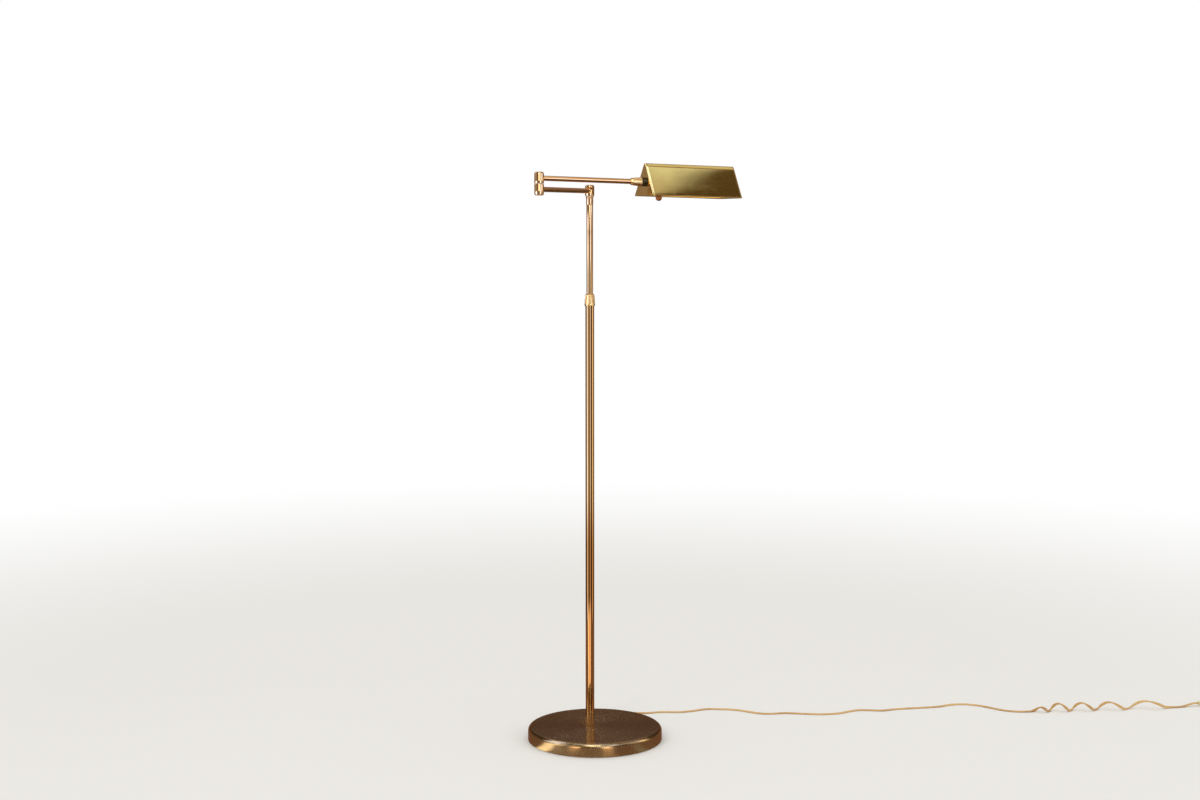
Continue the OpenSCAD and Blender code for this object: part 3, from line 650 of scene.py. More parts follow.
ZIGS = 12
ZIG_RISE = 6
ZIG_HALF = 8
COIL_FROM = 40
COIL_TO = COIL_FROM + ZIGS * ZIG_RISE
zigzag = [(ZIG_HALF if k % 2 else -ZIG_HALF, 0, COIL_FROM + k * ZIG_RISE) for k in range(ZIGS)]
filament = round_wire("filament", zigzag, 0.22, 8)
supports = []
for hand, side in (("left", -1), ("right", 1)):
    lead = [(side * 1.5, 0, 24), (side * 3, 0, 30), (side * 8.6, 0, 38), (side * 8.6, 0, COIL_TO)]
    supports.append(round_wire("filament_support_" + hand, lead, 0.3, 6))
print("filament:", len(filament.data.polygons), "faces")

# %% [markdown]
# ## How the finishes are made
# Brass looks like brass because of small things: lines left by drawing or spinning, patches of
# tarnish, smudges from hands. Each of these is one shader group with named inputs, built once.
# A group only puts out masks, and each material decides what a mask does to its colour,
# roughness and relief.

# %% Node helpers
def srgb(red, green, blue):
    """A colour written as on a paint chart, in the linear values that a shader takes."""
    return tuple((c / 255) ** 2.2 for c in (red, green, blue))


def feed(tree, socket, value):
    """Link another node's output to a socket, or give the socket a value of its own."""
    if isinstance(value, bpy.types.NodeSocket):
        tree.links.new(value, socket)
    else:
        socket.default_value = value


def feed_named(tree, node, values):
    """Feed several inputs by their names."""
    for name, value in values.items():
        feed(tree, node.inputs[name], value)
    return node.outputs


def add(tree, kind, *inputs, **settings):
    """A node whose inputs, in order, are linked, set, or left as they are with None."""
    node = tree.nodes.new("ShaderNode" + kind)
    for name, value in settings.items():
        setattr(node, name, value)
    for socket, value in zip(node.inputs, inputs):
        if value is not None:
            feed(tree, socket, value)
    return node


def calc(tree, operation, a, b=None, c=None, clamp=False):
    return add(tree, "Math", a, b, c, operation=operation, use_clamp=clamp).outputs[0]


def vector(tree, operation, a, b=None, scale=None):
    node = add(tree, "VectorMath", a, b, None, scale, operation=operation)
    return node.outputs["Value" if operation in ("DOT_PRODUCT", "LENGTH") else "Vector"]


def remap(tree, value, low, high, out_low=0.0, out_high=1.0):
    """A soft step: value rises from out_low to out_high between low and high."""
    node = add(tree, "MapRange", value, low, high, out_low, out_high,
               interpolation_type="SMOOTHSTEP")
    return node.outputs["Result"]


def noise(tree, point, scale, detail=2.0, roughness=0.5, distortion=0.0):
    values = {"Vector": point, "Scale": scale, "Detail": detail, "Roughness": roughness,
              "Distortion": distortion}
    return feed_named(tree, add(tree, "TexNoise"), values)["Fac"]


def mix(tree, factor, a, b, blend="MIX"):
    """Colour a, turned into colour b by a factor."""
    node = add(tree, "Mix", factor, data_type="RGBA", blend_type=blend)
    for socket, value in ((node.inputs[6], a), (node.inputs[7], b)):
        feed(tree, socket, value if isinstance(value, bpy.types.NodeSocket) else (*value, 1))
    return node.outputs[2]


def shader_group(name, inputs, outputs):
    """An empty group with named sockets, and the two ends to wire between."""
    tree = bpy.data.node_groups.new(name, "ShaderNodeTree")
    for label, kind, value in inputs:
        socket = tree.interface.new_socket(label, in_out="INPUT", socket_type="NodeSocket" + kind)
        if value is not None:
            socket.default_value = value
    for label in outputs:
        tree.interface.new_socket(label, in_out="OUTPUT", socket_type="NodeSocketFloat")
    start = tree.nodes.new("NodeGroupInput")
    end = tree.nodes.new("NodeGroupOutput")
    return tree, start.outputs, end.inputs


def use(tree, group, **values):
    """A group placed in a material, with its inputs by name."""
    return feed_named(tree, add(tree, "Group", node_tree=group), values)


def new_material(name):
    material = bpy.data.materials.new(name)
    material.use_nodes = True
    tree = material.node_tree
    return material, tree, tree.nodes["Principled BSDF"]


def own_point(tree):
    """A point in the object's own coordinates, so that marks stay put when a joint moves."""
    return add(tree, "TexCoord").outputs["Object"]


def emboss(tree, shader, height, depth):
    """Fine relief on a material, with its depth in millimetres."""
    bump = feed_named(tree, add(tree, "Bump", 1.0, depth * MM), {"Height": height})
    feed_named(tree, shader, {"Normal": bump["Normal"]})


print("node helpers ready")

# %% [markdown]
# ### Lines from drawing and from spinning
# A tube is drawn through a die, so its marks run along it. A disc or a ring is spun, so its marks
# run round it. Both need to know where a point is on a round part: how far along the axis, how
# far out, and in which direction. That is simple vector arithmetic on the object's coordinates.

# %% Line groups
ROUND_INPUTS = [("Point", "Vector", None), ("Origin", "Vector", None), ("Axis", "Vector", None),
                ("Fine", "Float", 60.0)]


def round_parts(tree, start):
    """Distance along the axis, distance from it, and the direction outwards."""
    offset = vector(tree, "SUBTRACT", start["Point"], start["Origin"])
    along = vector(tree, "DOT_PRODUCT", offset, start["Axis"])
    on_axis = vector(tree, "SCALE", start["Axis"], scale=along)
    radial = vector(tree, "SUBTRACT", offset, on_axis)
    return along, vector(tree, "LENGTH", radial), vector(tree, "NORMALIZE", radial)


def blend_of(tree, a, a_scale, b, b_scale):
    """Two directions added up, each with its own scale."""
    return vector(tree, "ADD", vector(tree, "SCALE", a, scale=a_scale),
                  vector(tree, "SCALE", b, scale=b_scale))


def line_masks(tree, fine, broad, end):
    """Noise over the fine and over the broad coordinates, as the group's two outputs."""
    lines = remap(tree, noise(tree, fine, 1.0, 3.0, 0.6), 0.3, 0.72)
    bands = remap(tree, noise(tree, broad, 1.0, 2.0), 0.38, 0.64)
    tree.links.new(lines, end["Lines"])
    tree.links.new(bands, end["Bands"])


LINE_PULL = 9.0
BAND_PULL = 1.3
BAND_WIDTH = 2.6
DRAWN, start, end = shader_group("drawn lines", ROUND_INPUTS, ["Lines", "Bands"])
along, _, around = round_parts(DRAWN, start)
fine = blend_of(DRAWN, around, start["Fine"],
                start["Axis"], calc(DRAWN, "MULTIPLY", along, LINE_PULL))
broad = blend_of(DRAWN, around, BAND_WIDTH,
                 start["Axis"], calc(DRAWN, "MULTIPLY", along, BAND_PULL))
line_masks(DRAWN, fine, broad, end)

SPUN, start, end = shader_group("spun rings", ROUND_INPUTS, ["Lines", "Bands"])
along, radius, around = round_parts(SPUN, start)
rings = add(SPUN, "CombineXYZ", calc(SPUN, "MULTIPLY", radius, start["Fine"]),
            calc(SPUN, "MULTIPLY", along, start["Fine"])).outputs[0]
fine = vector(SPUN, "ADD", rings, vector(SPUN, "SCALE", around, scale=0.7))
line_masks(SPUN, fine, blend_of(SPUN, rings, 0.06, around, 0.9), end)
print("groups:", DRAWN.name, "and", SPUN.name)

# %% [markdown]
# ### Tarnish, smudges and scratches
# Old lacquered brass darkens in soft-edged patches with small specks where the lacquer has
# failed. Hands leave patches that shine less. Wiping leaves hair-thin scratches that run in
# several directions: a noise stretched fifty times along one axis gives a bundle of them.

# %% Wear groups
SPECK_SCALE = 520.0
HAIR_TILTS = (0.3, 1.5, 2.5)
HAIR_STRETCH = (1.0, 0.02, 0.4)
TARNISH, start, end = shader_group(
    "tarnish", [("Point", "Vector", None), ("Scale", "Float", 12.0), ("Amount", "Float", 0.4)],
    ["Patches", "Specks"])
patch = noise(TARNISH, start["Point"], start["Scale"], 5.0, 0.6, 0.5)
edge = calc(TARNISH, "SUBTRACT", 0.78, calc(TARNISH, "MULTIPLY", start["Amount"], 0.4))
TARNISH.links.new(remap(TARNISH, patch, calc(TARNISH, "SUBTRACT", edge, 0.12),
                        calc(TARNISH, "ADD", edge, 0.1)), end["Patches"])
cells = feed_named(TARNISH, add(TARNISH, "TexVoronoi"),
                   {"Vector": start["Point"], "Scale": SPECK_SCALE})
gate = remap(TARNISH, noise(TARNISH, start["Point"], 17.0), 0.5, 0.66)
dot = remap(TARNISH, cells["Distance"], 0.32, 0.1)
TARNISH.links.new(calc(TARNISH, "MULTIPLY", dot, gate), end["Specks"])

SMUDGES, start, end = shader_group(
    "smudges", [("Point", "Vector", None), ("Scale", "Float", 26.0)], ["Smudge"])
SMUDGES.links.new(remap(SMUDGES, noise(SMUDGES, start["Point"], start["Scale"], 3.0, 0.55, 1.2),
                        0.35, 0.68), end["Smudge"])

SCRATCHES, start, end = shader_group(
    "hair scratches", [("Point", "Vector", None), ("Scale", "Float", 800.0)], ["Scratch"])
total = None
for tilt in HAIR_TILTS:
    turn = add(SCRATCHES, "VectorRotate", start["Point"], None, None, None,
               (tilt, 0.4 * tilt, tilt), rotation_type="EULER_XYZ").outputs[0]
    thin = vector(SCRATCHES, "MULTIPLY", turn, HAIR_STRETCH)
    hair = remap(SCRATCHES, noise(SCRATCHES, thin, start["Scale"], 1.0), 0.71, 0.76)
    total = hair if total is None else calc(SCRATCHES, "MAXIMUM", total, hair)
SCRATCHES.links.new(total, end["Scratch"])
print("groups:", TARNISH.name, SMUDGES.name, SCRATCHES.name)

# %% [markdown]
# ## Brass
# One recipe serves every brass part, with its own clean colour, a deeper tone that the lines and
# bands turn to, and a dull tone for tarnish. The metal's edge tint keeps the rims of the tubes
# from going white. What differs is which way the lines run, so each part names its own axis.
# The base's rings are so even that they also stretch a highlight across themselves.

# %% Brass recipe
EDGE_TINT = (0.85, 0.7, 0.6, 1)
PATCH_TONE = 0.6
SPECK_TONE = 0.4
SMUDGE_DULL = 0.05
PATCH_DULL = 0.12
HAIR_DULL = 0.1


def brass(name, clean, deep, dull, rough, lines, origin, axis, fine, line_mix=0.12, band_mix=0.3,
          tarnish=0.25, tarnish_scale=12.0, relief=0.0015):
    """A brass of three tones whose marks run along or round an axis through an origin."""
    material, tree, shader = new_material(name)
    point = own_point(tree)
    marks = use(tree, lines, Point=point, Origin=origin, Axis=axis, Fine=fine)
    aged = use(tree, TARNISH, Point=point, Scale=tarnish_scale, Amount=tarnish)
    hands = use(tree, SMUDGES, Point=point)
    hairs = use(tree, SCRATCHES, Point=point)
    colour = mix(tree, calc(tree, "MULTIPLY", marks["Bands"], band_mix), clean, deep)
    colour = mix(tree, calc(tree, "MULTIPLY", marks["Lines"], line_mix), colour, deep)
    colour = mix(tree, calc(tree, "MULTIPLY", aged["Patches"], PATCH_TONE), colour, dull)
    colour = mix(tree, calc(tree, "MULTIPLY", aged["Specks"], SPECK_TONE), colour, dull)
    gloss = calc(tree, "MULTIPLY_ADD", hands["Smudge"], SMUDGE_DULL, rough)
    gloss = calc(tree, "ADD", gloss, calc(tree, "MULTIPLY", aged["Patches"], PATCH_DULL))
    worn = calc(tree, "MULTIPLY", hairs["Scratch"], HAIR_DULL)
    gloss = calc(tree, "ADD", gloss, worn, clamp=True)
    feed_named(tree, shader, {"Base Color": colour, "Roughness": gloss, "Metallic": 1.0,
                              "Specular Tint": EDGE_TINT})
    emboss(tree, shader, calc(tree, "SUBTRACT", marks["Lines"], hairs["Scratch"]), relief)
    return material


print("brass recipe ready")

# %% Brass parts
BASE_MIDDLE = Vector((0, 0, 0))
POST_FOOT = POST.translation
UPPER_AXIS = SHADE.col[0].xyz
LOWER_AXIS = (upright(ELBOW, 0).translation - POST_FOOT).normalized()
BROWN = srgb(92, 58, 34)

post_brass = brass("post brass", srgb(216, 180, 128), srgb(182, 138, 88), BROWN, 0.03, DRAWN,
                   POST_FOOT, UP, 26.0)
mast_brass = brass("mast brass", srgb(226, 193, 146), srgb(194, 150, 102), BROWN, 0.03, DRAWN,
                   POST_FOOT, UP, 22.0, band_mix=0.4)
upper_arm_brass = brass("upper arm brass", srgb(234, 192, 138), srgb(200, 146, 92), BROWN, 0.03,
                        DRAWN, ELBOW.translation, UPPER_AXIS, 18.0)
lower_arm_brass = brass("lower arm brass", srgb(226, 188, 138), srgb(180, 136, 90), BROWN, 0.12,
                        DRAWN, KNUCKLE.translation, LOWER_AXIS, 18.0)
elbow_brass = brass("elbow brass", srgb(230, 196, 148), srgb(186, 142, 98), BROWN, 0.03, SPUN,
                    ELBOW.translation, UP, 2600.0)
knuckle_brass = brass("knuckle brass", srgb(230, 190, 142), srgb(188, 137, 90), BROWN, 0.03, SPUN,
                      KNUCKLE.translation, UP, 2600.0)
collar_brass = brass("collar brass", srgb(248, 214, 148), srgb(206, 146, 76), srgb(128, 80, 38),
                     0.09, SPUN, POST_FOOT, UP, 2400.0, line_mix=0.1, tarnish=0.15)
nut_brass = brass("nut brass", srgb(248, 214, 148), srgb(206, 146, 76), srgb(128, 80, 38),
                  0.09, SPUN, ELBOW.translation, UPPER_AXIS, 2400.0, line_mix=0.1, tarnish=0.15)
base_brass = brass("base brass", srgb(190, 171, 132), srgb(164, 145, 111), srgb(114, 93, 70), 0.2,
                   SPUN, BASE_MIDDLE, UP, 1500.0, line_mix=0.15, band_mix=0.3, tarnish=0.1,
                   tarnish_scale=7.0, relief=0.0004)
base_tree = base_brass.node_tree
rings = add(base_tree, "Tangent", direction_type="RADIAL", axis="Z").outputs[0]
feed_named(base_tree, base_tree.nodes["Principled BSDF"],
           {"Anisotropic": 0.8, "Anisotropic Rotation": 0.25, "Tangent": rings})
knob_brass = brass("knob brass", srgb(216, 146, 90), srgb(150, 88, 48), srgb(84, 44, 24), 0.14,
                   SPUN, joint_point("switch_knob_turn"), knob_axis, 2600.0, tarnish=0.3)
fitting_brass = brass("fitting brass", srgb(226, 190, 126), srgb(186, 140, 84), BROWN, 0.24, SPUN,
                      POST_FOOT, UP, 2400.0)
socket_brass = brass("socket brass", srgb(232, 198, 132), srgb(190, 146, 88), BROWN, 0.2, SPUN,
                     SHADE.translation, UPPER_AXIS, 1800.0)
print("brass parts: 12 finishes")

# %% [markdown]
# ## The shade's sheet
# The shade is polished brass with a greener tone than the tubes. Sheet is rolled flat, so its
# marks run straight along its length. Inside it is sprayed with white enamel, which has a fine
# orange peel.

# %% Shade finishes
UNDER_AXIS = -25 * MM
shade_brass = brass("shade brass", srgb(226, 210, 140), srgb(204, 182, 108), srgb(140, 104, 50),
                    0.08, DRAWN, SHADE.translation + SHADE.col[2].xyz * UNDER_AXIS, UPPER_AXIS,
                    60.0, line_mix=0.1, tarnish=0.2, tarnish_scale=9.0, relief=0.001)


MOTTLE_SCALE = 0.12


def coated(name, light, dark, rough, scale, relief, patchy=0.5, coat=0.0, metallic=0.0):
    """Paint, plastic, rubber or plain metal: two tones in soft mottling over a fine grain."""
    material, tree, shader = new_material(name)
    point = own_point(tree)
    mottle = noise(tree, point, scale * MOTTLE_SCALE, 4.0, 0.6)
    hands = use(tree, SMUDGES, Point=point)
    tone = calc(tree, "MULTIPLY", remap(tree, mottle, 0.35, 0.7), patchy)
    feed_named(tree, shader, {
        "Base Color": mix(tree, tone, light, dark), "Metallic": metallic, "Coat Weight": coat,
        "Roughness": calc(tree, "MULTIPLY_ADD", hands["Smudge"], 0.1, rough)})
    emboss(tree, shader, noise(tree, point, scale), relief)
    return material


enamel = coated("white enamel", srgb(240, 238, 230), srgb(222, 216, 200), 0.3, 900.0, 0.03, 0.6,
                coat=0.3)
END_FACES = 2
ENAMEL = 1
shade.data.materials.append(shade_brass)
shade.data.materials.append(enamel)
shade.data.polygons[END_FACES - 1].material_index = ENAMEL
first_inside = END_FACES + (len(outside) + len(hem)) * ring_points
for face in shade.data.polygons[first_inside:]:
    face.material_index = ENAMEL
print("shade: brass outside, enamel inside")

# %% [markdown]
# ## The other materials
# The hidden parts matter when the lamp is taken apart or seen from below: cast iron, zinc-plated
# steel, felt, nylon washers, a black spacer, dark phenolic in the socket, and aluminium.

# %% Plain finishes
iron = coated("cast iron", srgb(62, 60, 58), srgb(38, 34, 31), 0.6, 700.0, 0.25, 0.8)
steel = coated("zinc plated steel", srgb(196, 194, 188), srgb(150, 146, 138), 0.3, 900.0, 0.01,
               0.6, metallic=1.0)
aluminium = coated("aluminium", srgb(214, 213, 208), srgb(176, 174, 168), 0.28, 1200.0, 0.01, 0.5,
                   metallic=1.0)
nylon = coated("nylon", srgb(232, 228, 214), srgb(206, 198, 178), 0.45, 900.0, 0.02)
fibre = coated("black fibre", srgb(38, 33, 29), srgb(20, 17, 15), 0.36, 1400.0, 0.02)
phenolic = coated("phenolic", srgb(54, 40, 32), srgb(30, 22, 18), 0.25, 900.0, 0.02, coat=0.3)
lead_cover = coated("lead cover", srgb(150, 120, 72), srgb(112, 86, 48), 0.4, 900.0, 0.02)
plug_ivory = coated("ivory plug", srgb(226, 212, 160), srgb(196, 178, 122), 0.38, 1100.0, 0.05,
                    0.6)
blade_brass = coated("blade brass", srgb(222, 190, 120), srgb(170, 130, 70), 0.28, 800.0, 0.01,
                     0.6, metallic=1.0)
tungsten = coated("tungsten wire", srgb(120, 118, 116), srgb(80, 78, 76), 0.35, 3000.0, 0.01,
                  metallic=1.0)


def felt_finish():
    """Short wool fibres pressed flat: strong fine relief and a soft sheen."""
    material, tree, shader = new_material("wool felt")
    combed = vector(tree, "MULTIPLY", own_point(tree), (1.0, 0.35, 1.0))
    fibres = noise(tree, combed, 1700.0, 4.0, 0.7, 1.5)
    feed_named(tree, shader, {"Base Color": mix(tree, fibres, srgb(30, 52, 38), srgb(70, 96, 74)),
                              "Roughness": 0.95, "Sheen Weight": 0.4})
    emboss(tree, shader, fibres, 0.35)
    return material


felt = felt_finish()
print("plain finishes ready")

# %% [markdown]
# ### Cord and glass
# The cord is soft vinyl of a golden brown that lets some light in, so its lit side glows and its
# shaded side keeps warm. The bulb is thin clear glass: it transmits, and only its rims reflect.

# %% Cord and bulb finishes
def cord_finish():
    """Vinyl in two soft tones, with dirt in its grain."""
    material, tree, shader = new_material("golden vinyl")
    point = own_point(tree)
    slow = noise(tree, point, 14.0, 3.0)
    dirt = noise(tree, point, 260.0, 3.0, 0.7)
    colour = mix(tree, remap(tree, slow, 0.35, 0.7), srgb(218, 180, 122), srgb(192, 148, 92))
    colour = mix(tree, remap(tree, dirt, 0.58, 0.8, 0.0, 0.5), colour, srgb(112, 80, 46))
    feed_named(tree, shader, {
        "Base Color": colour, "Roughness": remap(tree, dirt, 0.3, 0.8, 0.32, 0.55),
        "Subsurface Weight": 0.25, "Subsurface Radius": (1.0, 0.55, 0.25),
        "Subsurface Scale": 1.5 * MM})
    emboss(tree, shader, dirt, 0.04)
    return material


def glass_finish():
    """Thin clear glass with the faint ripple of a blown tube."""
    material, tree, shader = new_material("bulb glass")
    ripple = noise(tree, own_point(tree), 60.0)
    feed_named(tree, shader, {
        "Base Color": (0.97, 0.96, 0.93, 1), "Transmission Weight": 1.0, "IOR": 1.3,
        "Roughness": remap(tree, ripple, 0.3, 0.7, 0.02, 0.06)})
    emboss(tree, shader, ripple, 0.02)
    return material


golden_vinyl = cord_finish()
bulb_glass = glass_finish()

# %% Dress every part
PIECE_FINISH = {
    cord: golden_vinyl, relief: golden_vinyl, plug: plug_ivory, collar: collar_brass,
    nut: nut_brass, knob: knob_brass, ferrule: knuckle_brass, shell: socket_brass,
    neck_cap: socket_brass, glass_stem: bulb_glass, filament: tungsten}
NODE_FINISH = {
    base_brass: ["base_cover"],
    iron: ["base_weight"],
    felt: ["base_pad"],
    steel: ["base_washer", "base_nut", "shade_locknut"],
    fitting_brass: ["base_nipple", "post_foot", "post_socket", "collet", "swivel_stem",
                    "elbow_stem"],
    post_brass: ["post_tube"],
    mast_brass: ["mast_tube"],
    nylon: ["mast_guide", "knuckle_washer", "elbow_washer"],
    lead_cover: ["post_wire", "mast_wire", "lower_arm_wire", "upper_arm_wire"],
    lower_arm_brass: ["lower_arm_tube"],
    upper_arm_brass: ["upper_arm_tube"],
    socket_brass: ["arm_end_fitting", "shade_stem", "switch_shaft"],
    fibre: ["shade_washer"],
    phenolic: ["socket_body"],
    aluminium: ["socket_screw_shell", "bulb_base"],
    blade_brass: ["socket_contact", "plug_blades"],
    bulb_glass: ["bulb_glass"],
}
for name, piece in turned_joints.items():
    PIECE_FINISH[piece] = knuckle_brass if name.startswith("knuckle") else elbow_brass
for support in supports:
    PIECE_FINISH[support] = tungsten
for piece, finish in PIECE_FINISH.items():
    piece.data.materials.append(finish)
for finish, names in NODE_FINISH.items():
    for name in names:
        for slot in frame["nodes"][name].material_slots:
            slot.material = finish
print("dressed", sum(len(names) for names in NODE_FINISH.values()), "parts of the frame")

# %% [markdown]
# ## Studio
# Polished metal has hardly a colour of its own: it shows the room. The camera sees a white
# surround and a pale floor. The lamp is ringed by a reflection screen, as a photographer would
# ring a chrome part with coloured boards, which only reflections can see.

# %% World
FLOOR_COLOUR = (0.80, 0.79, 0.77)
DOME = [(0.0, (1.0, 1.0, 1.0)), (0.14, (1.0, 1.0, 1.0)), (0.3, (0.62, 0.6, 0.57)),
        (0.62, (0.7, 0.69, 0.66)), (0.8, (1.0, 0.99, 0.96))]


def ramp(tree, value, stops):
    """A colour ramp with soft steps from (position, colour) stops."""
    node = add(tree, "ValToRGB", value)
    elements = node.color_ramp.elements
    while len(elements) < len(stops):
        elements.new(0.5)
    for element, (at, colour) in zip(elements, stops):
        element.position = at
        element.color = (*colour, 1)
    return node.outputs["Color"]


world = bpy.data.worlds.new("studio")
bpy.context.scene.world = world
world.use_nodes = True
world.cycles_visibility.glossy = False
sky = world.node_tree
height = add(sky, "SeparateXYZ", add(sky, "TexCoord").outputs["Generated"]).outputs["Z"]
sky.links.new(ramp(sky, height, DOME), sky.nodes["Background"].inputs["Color"])
print("world: white horizon under a grey and white dome")

# %% [markdown]
# ### Floor
# A hard line between floor and sky would cut the picture behind the lamp. So the floor fades
# into the white of the world with distance, for the rays that see it: camera, reflection and
# glass. Near the lamp it is an ordinary pale floor that takes the lamp's shadow.

# %% Floor
FADE_FROM = 0.9
FADE_TO = 3.6
FLOOR_R = 40
floor_material, tree, floor_shader = new_material("floor")
feed_named(tree, floor_shader, {"Base Color": (*FLOOR_COLOUR, 1), "Roughness": 0.9,
                                "Specular IOR Level": 0.0})
away = vector(tree, "LENGTH", own_point(tree))
rays = add(tree, "LightPath").outputs
seen = calc(tree, "ADD", rays["Is Camera Ray"], rays["Is Glossy Ray"])
seen = calc(tree, "ADD", seen, rays["Is Transmission Ray"], clamp=True)
fade = calc(tree, "MULTIPLY", remap(tree, away, FADE_FROM, FADE_TO), seen)
white = add(tree, "Emission", (1, 1, 1, 1), 1.0).outputs[0]
blend = add(tree, "MixShader", fade, floor_shader.outputs[0], white)
tree.links.new(blend.outputs[0], tree.nodes["Material Output"].inputs["Surface"])
bpy.ops.mesh.primitive_circle_add(vertices=96, radius=FLOOR_R, fill_type="NGON")
floor = bpy.context.object
floor.name = "floor"
floor.data.materials.append(floor_material)
print("floor fades to white from", FADE_FROM, "to", FADE_TO, "m")

# %% [markdown]
# ### Reflection screen
# The screen is a bowl round the lamp with a lid over it, painted with upright boards. Tall pale
# boards to the left and in front draw the white lines on the tubes, dim ones between them the tan
# and brown bands, and dark ones behind the lamp the dark rims. The bowl has eight storeys: the
# floor right beside the base, the floor a little further out, the wall up to the collar, the wall
# beside the upper tube, the wall level with the arms, and three above them. Of those, the lowest
# and the highest have a window in front that shows in the base's rim. The one between them breaks
# it, so that it never fills a whole face of the shade. A hazy window shows in the shade's fold.

# %% Boards
NIGHT = (0.09, 0.06, 0.04)
WALL = (0.36, 0.26, 0.23)
DUSK = (0.24, 0.17, 0.11)
MUD = (0.34, 0.27, 0.21)
TAN = (0.55, 0.46, 0.39)
SAND = (0.80, 0.72, 0.65)
PALE = (1.1, 1.1, 1.25)
SKY = (1.9, 2.1, 2.9)
SUN = (5.0, 4.7, 4.2)
HAZE = (2.4, 2.4, 3.2)
WOOD = (0.26, 0.15, 0.10)
LIT_WOOD = (2.2, 1.8, 1.4)
WARM_WOOD = (0.38, 0.27, 0.2)
DULL_WOOD = (0.32, 0.22, 0.15)
RED_WOOD = (0.42, 0.28, 0.18)
SUNLIT_WOOD = (2.4, 2.0, 1.6)
LAMPLIGHT = (3.4, 2.2, 1.4)
SHADOW = (0.19, 0.15, 0.16)
CREAM = (2.6, 2.2, 1.7)
COLD_SKY = (3.0, 3.2, 4.4)
STOREYS = [
    (0.0, 0.0, [(-180, WOOD), (-60, LIT_WOOD), (-46, WARM_WOOD), (-20, DULL_WOOD), (8, RED_WOOD),
                (20, WOOD), (42, MUD), (52, WOOD)]),
    (0.004, 0.009, [(-180, WOOD), (-60, SUNLIT_WOOD), (-45, MUD), (-30, LAMPLIGHT),
                    (-19, WOOD), (10, LAMPLIGHT), (21, WOOD)]),
    (0.08, 0.12, [(-180, SHADOW), (-150, NIGHT), (-90, SKY), (-62, TAN), (-28, DUSK), (4, PALE),
                  (28, NIGHT), (62, TAN), (84, CREAM), (98, NIGHT), (150, SHADOW)]),
    (0.84, 0.9, [(-180, WALL), (-140, NIGHT), (-88, COLD_SKY), (-54, MUD), (-20, DUSK),
                 (14, SKY), (42, TAN), (84, WALL)]),
    (0.99, 1.01, [(-180, WALL), (-140, NIGHT), (-106, TAN), (-70, MUD), (-50, DUSK), (-11, SUN),
                  (3, DUSK), (28, SKY), (48, PALE), (100, NIGHT), (140, WALL)]),
    (1.22, 1.28, [(-180, WALL), (-118, HAZE), (-86, NIGHT), (-24, SUN), (14, NIGHT),
                  (31, HAZE), (46, TAN), (54, WALL)]),
    (1.46, 1.5, [(-180, WALL), (-118, HAZE), (-86, NIGHT), (31, SAND), (54, WALL)]),
    (1.66, 1.72, [(-180, WALL), (-118, HAZE), (-86, NIGHT), (-24, SUN), (14, NIGHT),
                  (31, SAND), (54, WALL)])]
FLOOR_TINT = (0.62, 0.45, 0.3)
TINT_FOOT = (0.08, 0.12)
TINT_TOP = (0.34, 0.2)
BOARD_EDGE = 2.0
BRIGHTEST = 5.0


def glow_material(name):
    """A stage material that only glows, and adds no light of its own to the room."""
    material = bpy.data.materials.new(name)
    material.use_nodes = True
    tree = material.node_tree
    tree.nodes.remove(tree.nodes["Principled BSDF"])
    glow = add(tree, "Emission", None, BRIGHTEST)
    tree.links.new(glow.outputs[0], tree.nodes["Material Output"].inputs["Surface"])
    material.cycles.emission_sampling = "NONE"
    return material, tree, glow.inputs["Color"]


def level(colour):
    return tuple(c / BRIGHTEST for c in colour)


def boards(tree, turn, row):
    """Boards side by side, each from its own azimuth to the next one's, with soft edges."""
    stops = [(0.0, level(row[0][1]))]
    for (_, before), (azimuth, after) in zip(row, row[1:]):
        stops.append(((azimuth - BOARD_EDGE + 180) / 360, level(before)))
        stops.append(((azimuth + BOARD_EDGE + 180) / 360, level(after)))
    return ramp(tree, turn, stops)


screen_material, tree, screen_colour = glow_material("screen")
place = add(tree, "SeparateXYZ", own_point(tree)).outputs
angle = calc(tree, "ARCTAN2", place["X"], calc(tree, "MULTIPLY", place["Y"], -1.0))
turn = calc(tree, "MULTIPLY_ADD", angle, 1 / tau, 0.5)
wall = None
for low, high, row in STOREYS:
    painted = boards(tree, turn, row)
    wall = mix(tree, remap(tree, place["Z"], low, high), wall, painted) if high else painted
    print("storey from", low, "m:", len(row), "boards")
near_floor = calc(tree, "MULTIPLY", remap(tree, place["Z"], *TINT_TOP),
                  remap(tree, place["Z"], *TINT_FOOT))
tint = mix(tree, near_floor, (1, 1, 1), FLOOR_TINT)
tree.links.new(mix(tree, 1.0, wall, tint, "MULTIPLY"), screen_colour)

# %% [markdown]
# The lid is a ceiling. The sloping face of the shade is a mirror that looks up and to the right:
# the light part of the ceiling gives its pale left, and the dark part its brown right. The line
# between them is slanted, and a little noise makes it wander as in a real room. A bright card
# lights the fold, and towards the back a dim strip and a pale one draw the lines at the ridge.

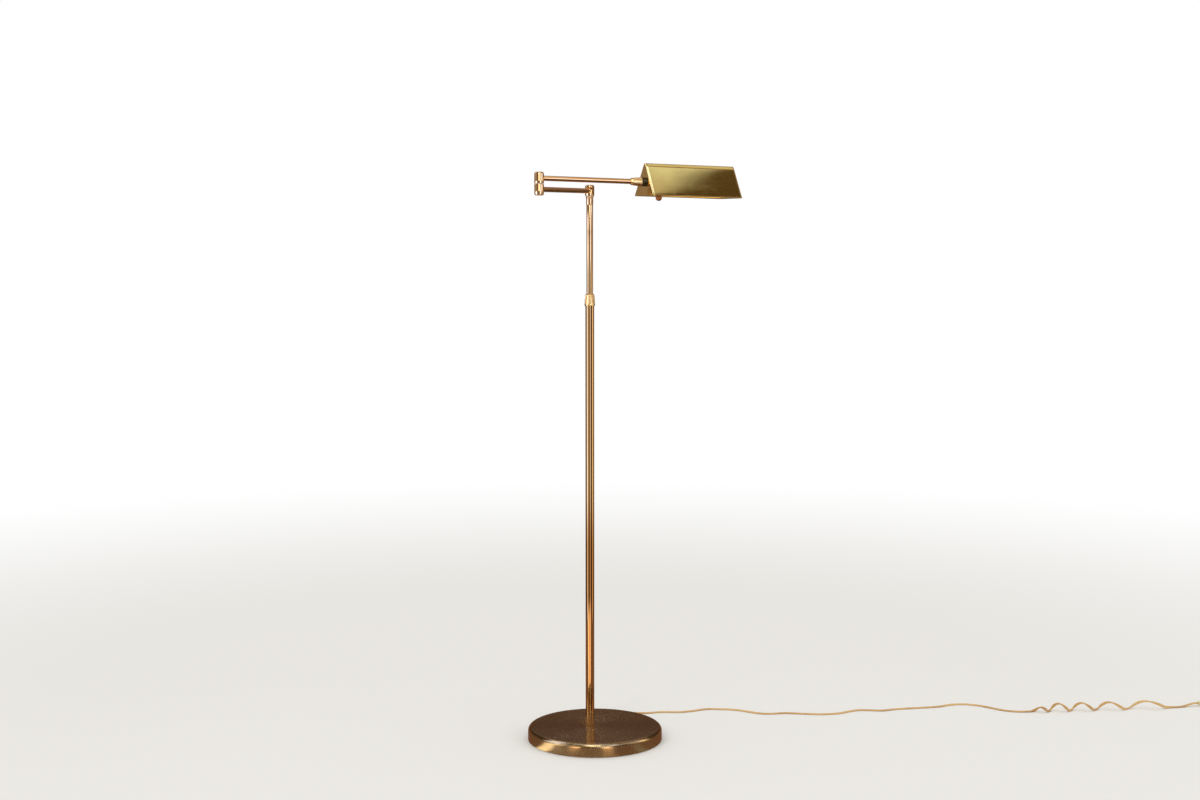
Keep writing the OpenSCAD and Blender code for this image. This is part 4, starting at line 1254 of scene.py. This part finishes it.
# %% Ceiling
CEILING = (0.93, 0.9, 0.86)
CEILING_NEAR = (0.62, 0.5, 0.42)
CEILING_DARK = (0.11, 0.065, 0.03)
CEILING_BACK = (0.16, 0.11, 0.08)
RIDGE_LIGHT = (0.86, 0.74, 0.64)
RIDGE_DARK = (0.34, 0.2, 0.09)
CARD = (1.7, 1.8, 2.5)
EDGE_X = 0.835
EDGE_LEAN = 0.3
EDGE_PIVOT = 0.15
EDGE_SOFT = 0.07
WANDER = 0.07
NEAR_Y = (-0.14, -0.28)
CARD_RIGHT_X = (0.6, 0.5)
CARD_BACK_Y = (-0.2, -0.26)
CARD_FRONT_Y = (-0.5, -0.45)
STRIP_FROM_Y = (0.0, 0.03)
STRIP_PALE_Y = (0.18, 0.22)
STRIP_TO_Y = (0.36, 0.5)
ceiling_material, tree, ceiling_colour = glow_material("ceiling")
point = own_point(tree)
place = add(tree, "SeparateXYZ", point).outputs
lean = calc(tree, "MULTIPLY_ADD", place["Y"], -EDGE_LEAN, -EDGE_LEAN * EDGE_PIVOT)
wander = calc(tree, "MULTIPLY", calc(tree, "SUBTRACT", noise(tree, point, 6.0, 0.6), 0.5), WANDER)
across = calc(tree, "ADD", calc(tree, "ADD", place["X"], lean), wander)
light = mix(tree, remap(tree, calc(tree, "ADD", place["Y"], wander), *NEAR_Y), level(CEILING),
            level(CEILING_NEAR))
front = mix(tree, remap(tree, across, EDGE_X - EDGE_SOFT, EDGE_X + EDGE_SOFT), light,
            level(CEILING_DARK))
card = calc(tree, "MULTIPLY", remap(tree, place["X"], *CARD_RIGHT_X),
            calc(tree, "MULTIPLY", remap(tree, place["Y"], *CARD_BACK_Y),
                 remap(tree, place["Y"], *CARD_FRONT_Y)))
front = mix(tree, card, front, level(CARD))
back = mix(tree, remap(tree, place["Y"], *STRIP_PALE_Y), level(RIDGE_DARK), level(RIDGE_LIGHT))
back = mix(tree, remap(tree, place["Y"], *STRIP_TO_Y), back, level(CEILING_BACK))
tree.links.new(mix(tree, remap(tree, place["Y"], *STRIP_FROM_Y), front, back), ceiling_colour)
print("ceiling: light to the left of", EDGE_X, "m")

# %% Build the screen
BOWL = [(0.01, 0.0006), (0.15, 0.001), (0.4, 0.04), (0.75, 0.2), (1.0, 0.5), (1.15, 1.1),
        (1.15, 2.4)]
LID_R = 1.3
SCREEN_STEPS = 72


def only_reflected(name, verts, faces, material):
    """A stage object that no ray sees but a reflected one."""
    mesh = bpy.data.meshes.new(name)
    mesh.from_pydata(verts, [], faces)
    mesh.shade_smooth()
    mesh.materials.append(material)
    board = bpy.data.objects.new(name, mesh)
    bpy.context.scene.collection.objects.link(board)
    board.visible_camera = False
    board.visible_diffuse = False
    board.visible_transmission = False
    board.visible_shadow = False
    return board


def screen_ring(r, z):
    return [(r * sin(tau * k / SCREEN_STEPS), r * cos(tau * k / SCREEN_STEPS), z)
            for k in range(SCREEN_STEPS)]


verts = [point for r, z in BOWL for point in screen_ring(r, z)]
screen = only_reflected("screen", verts, loft_faces(len(BOWL), SCREEN_STEPS)[2:], screen_material)
screen.rotation_euler.z = radians(-TURN_RIGHT)
only_reflected("ceiling", screen_ring(LID_R, BOWL[-1][1]), [list(range(SCREEN_STEPS))],
               ceiling_material)
print("screen built")

# %% Lamps
LAMPS_AIM = Vector((0.1, 0.05, 0.6))
LAMPS = [
    ("key", (-2.2, -2.6, 2.6), 1.4, 22),
    ("fill", (2.8, -1.6, 1.6), 1.6, 8),
    ("top", (0.3, 0.4, 3.2), 2.2, 12),
]
for name, spot, size, power in LAMPS:
    light = bpy.data.lights.new(name, "AREA")
    light.shape = "RECTANGLE"
    light.size = size
    light.size_y = size
    light.energy = power
    lamp = bpy.data.objects.new(name, light)
    lamp.location = spot
    lamp.visible_glossy = False
    aim = LAMPS_AIM - Vector(spot)
    lamp.rotation_euler = aim.to_track_quat("-Z", "Y").to_euler()
    bpy.context.scene.collection.objects.link(lamp)
print("studio:", len(LAMPS), "lamps")
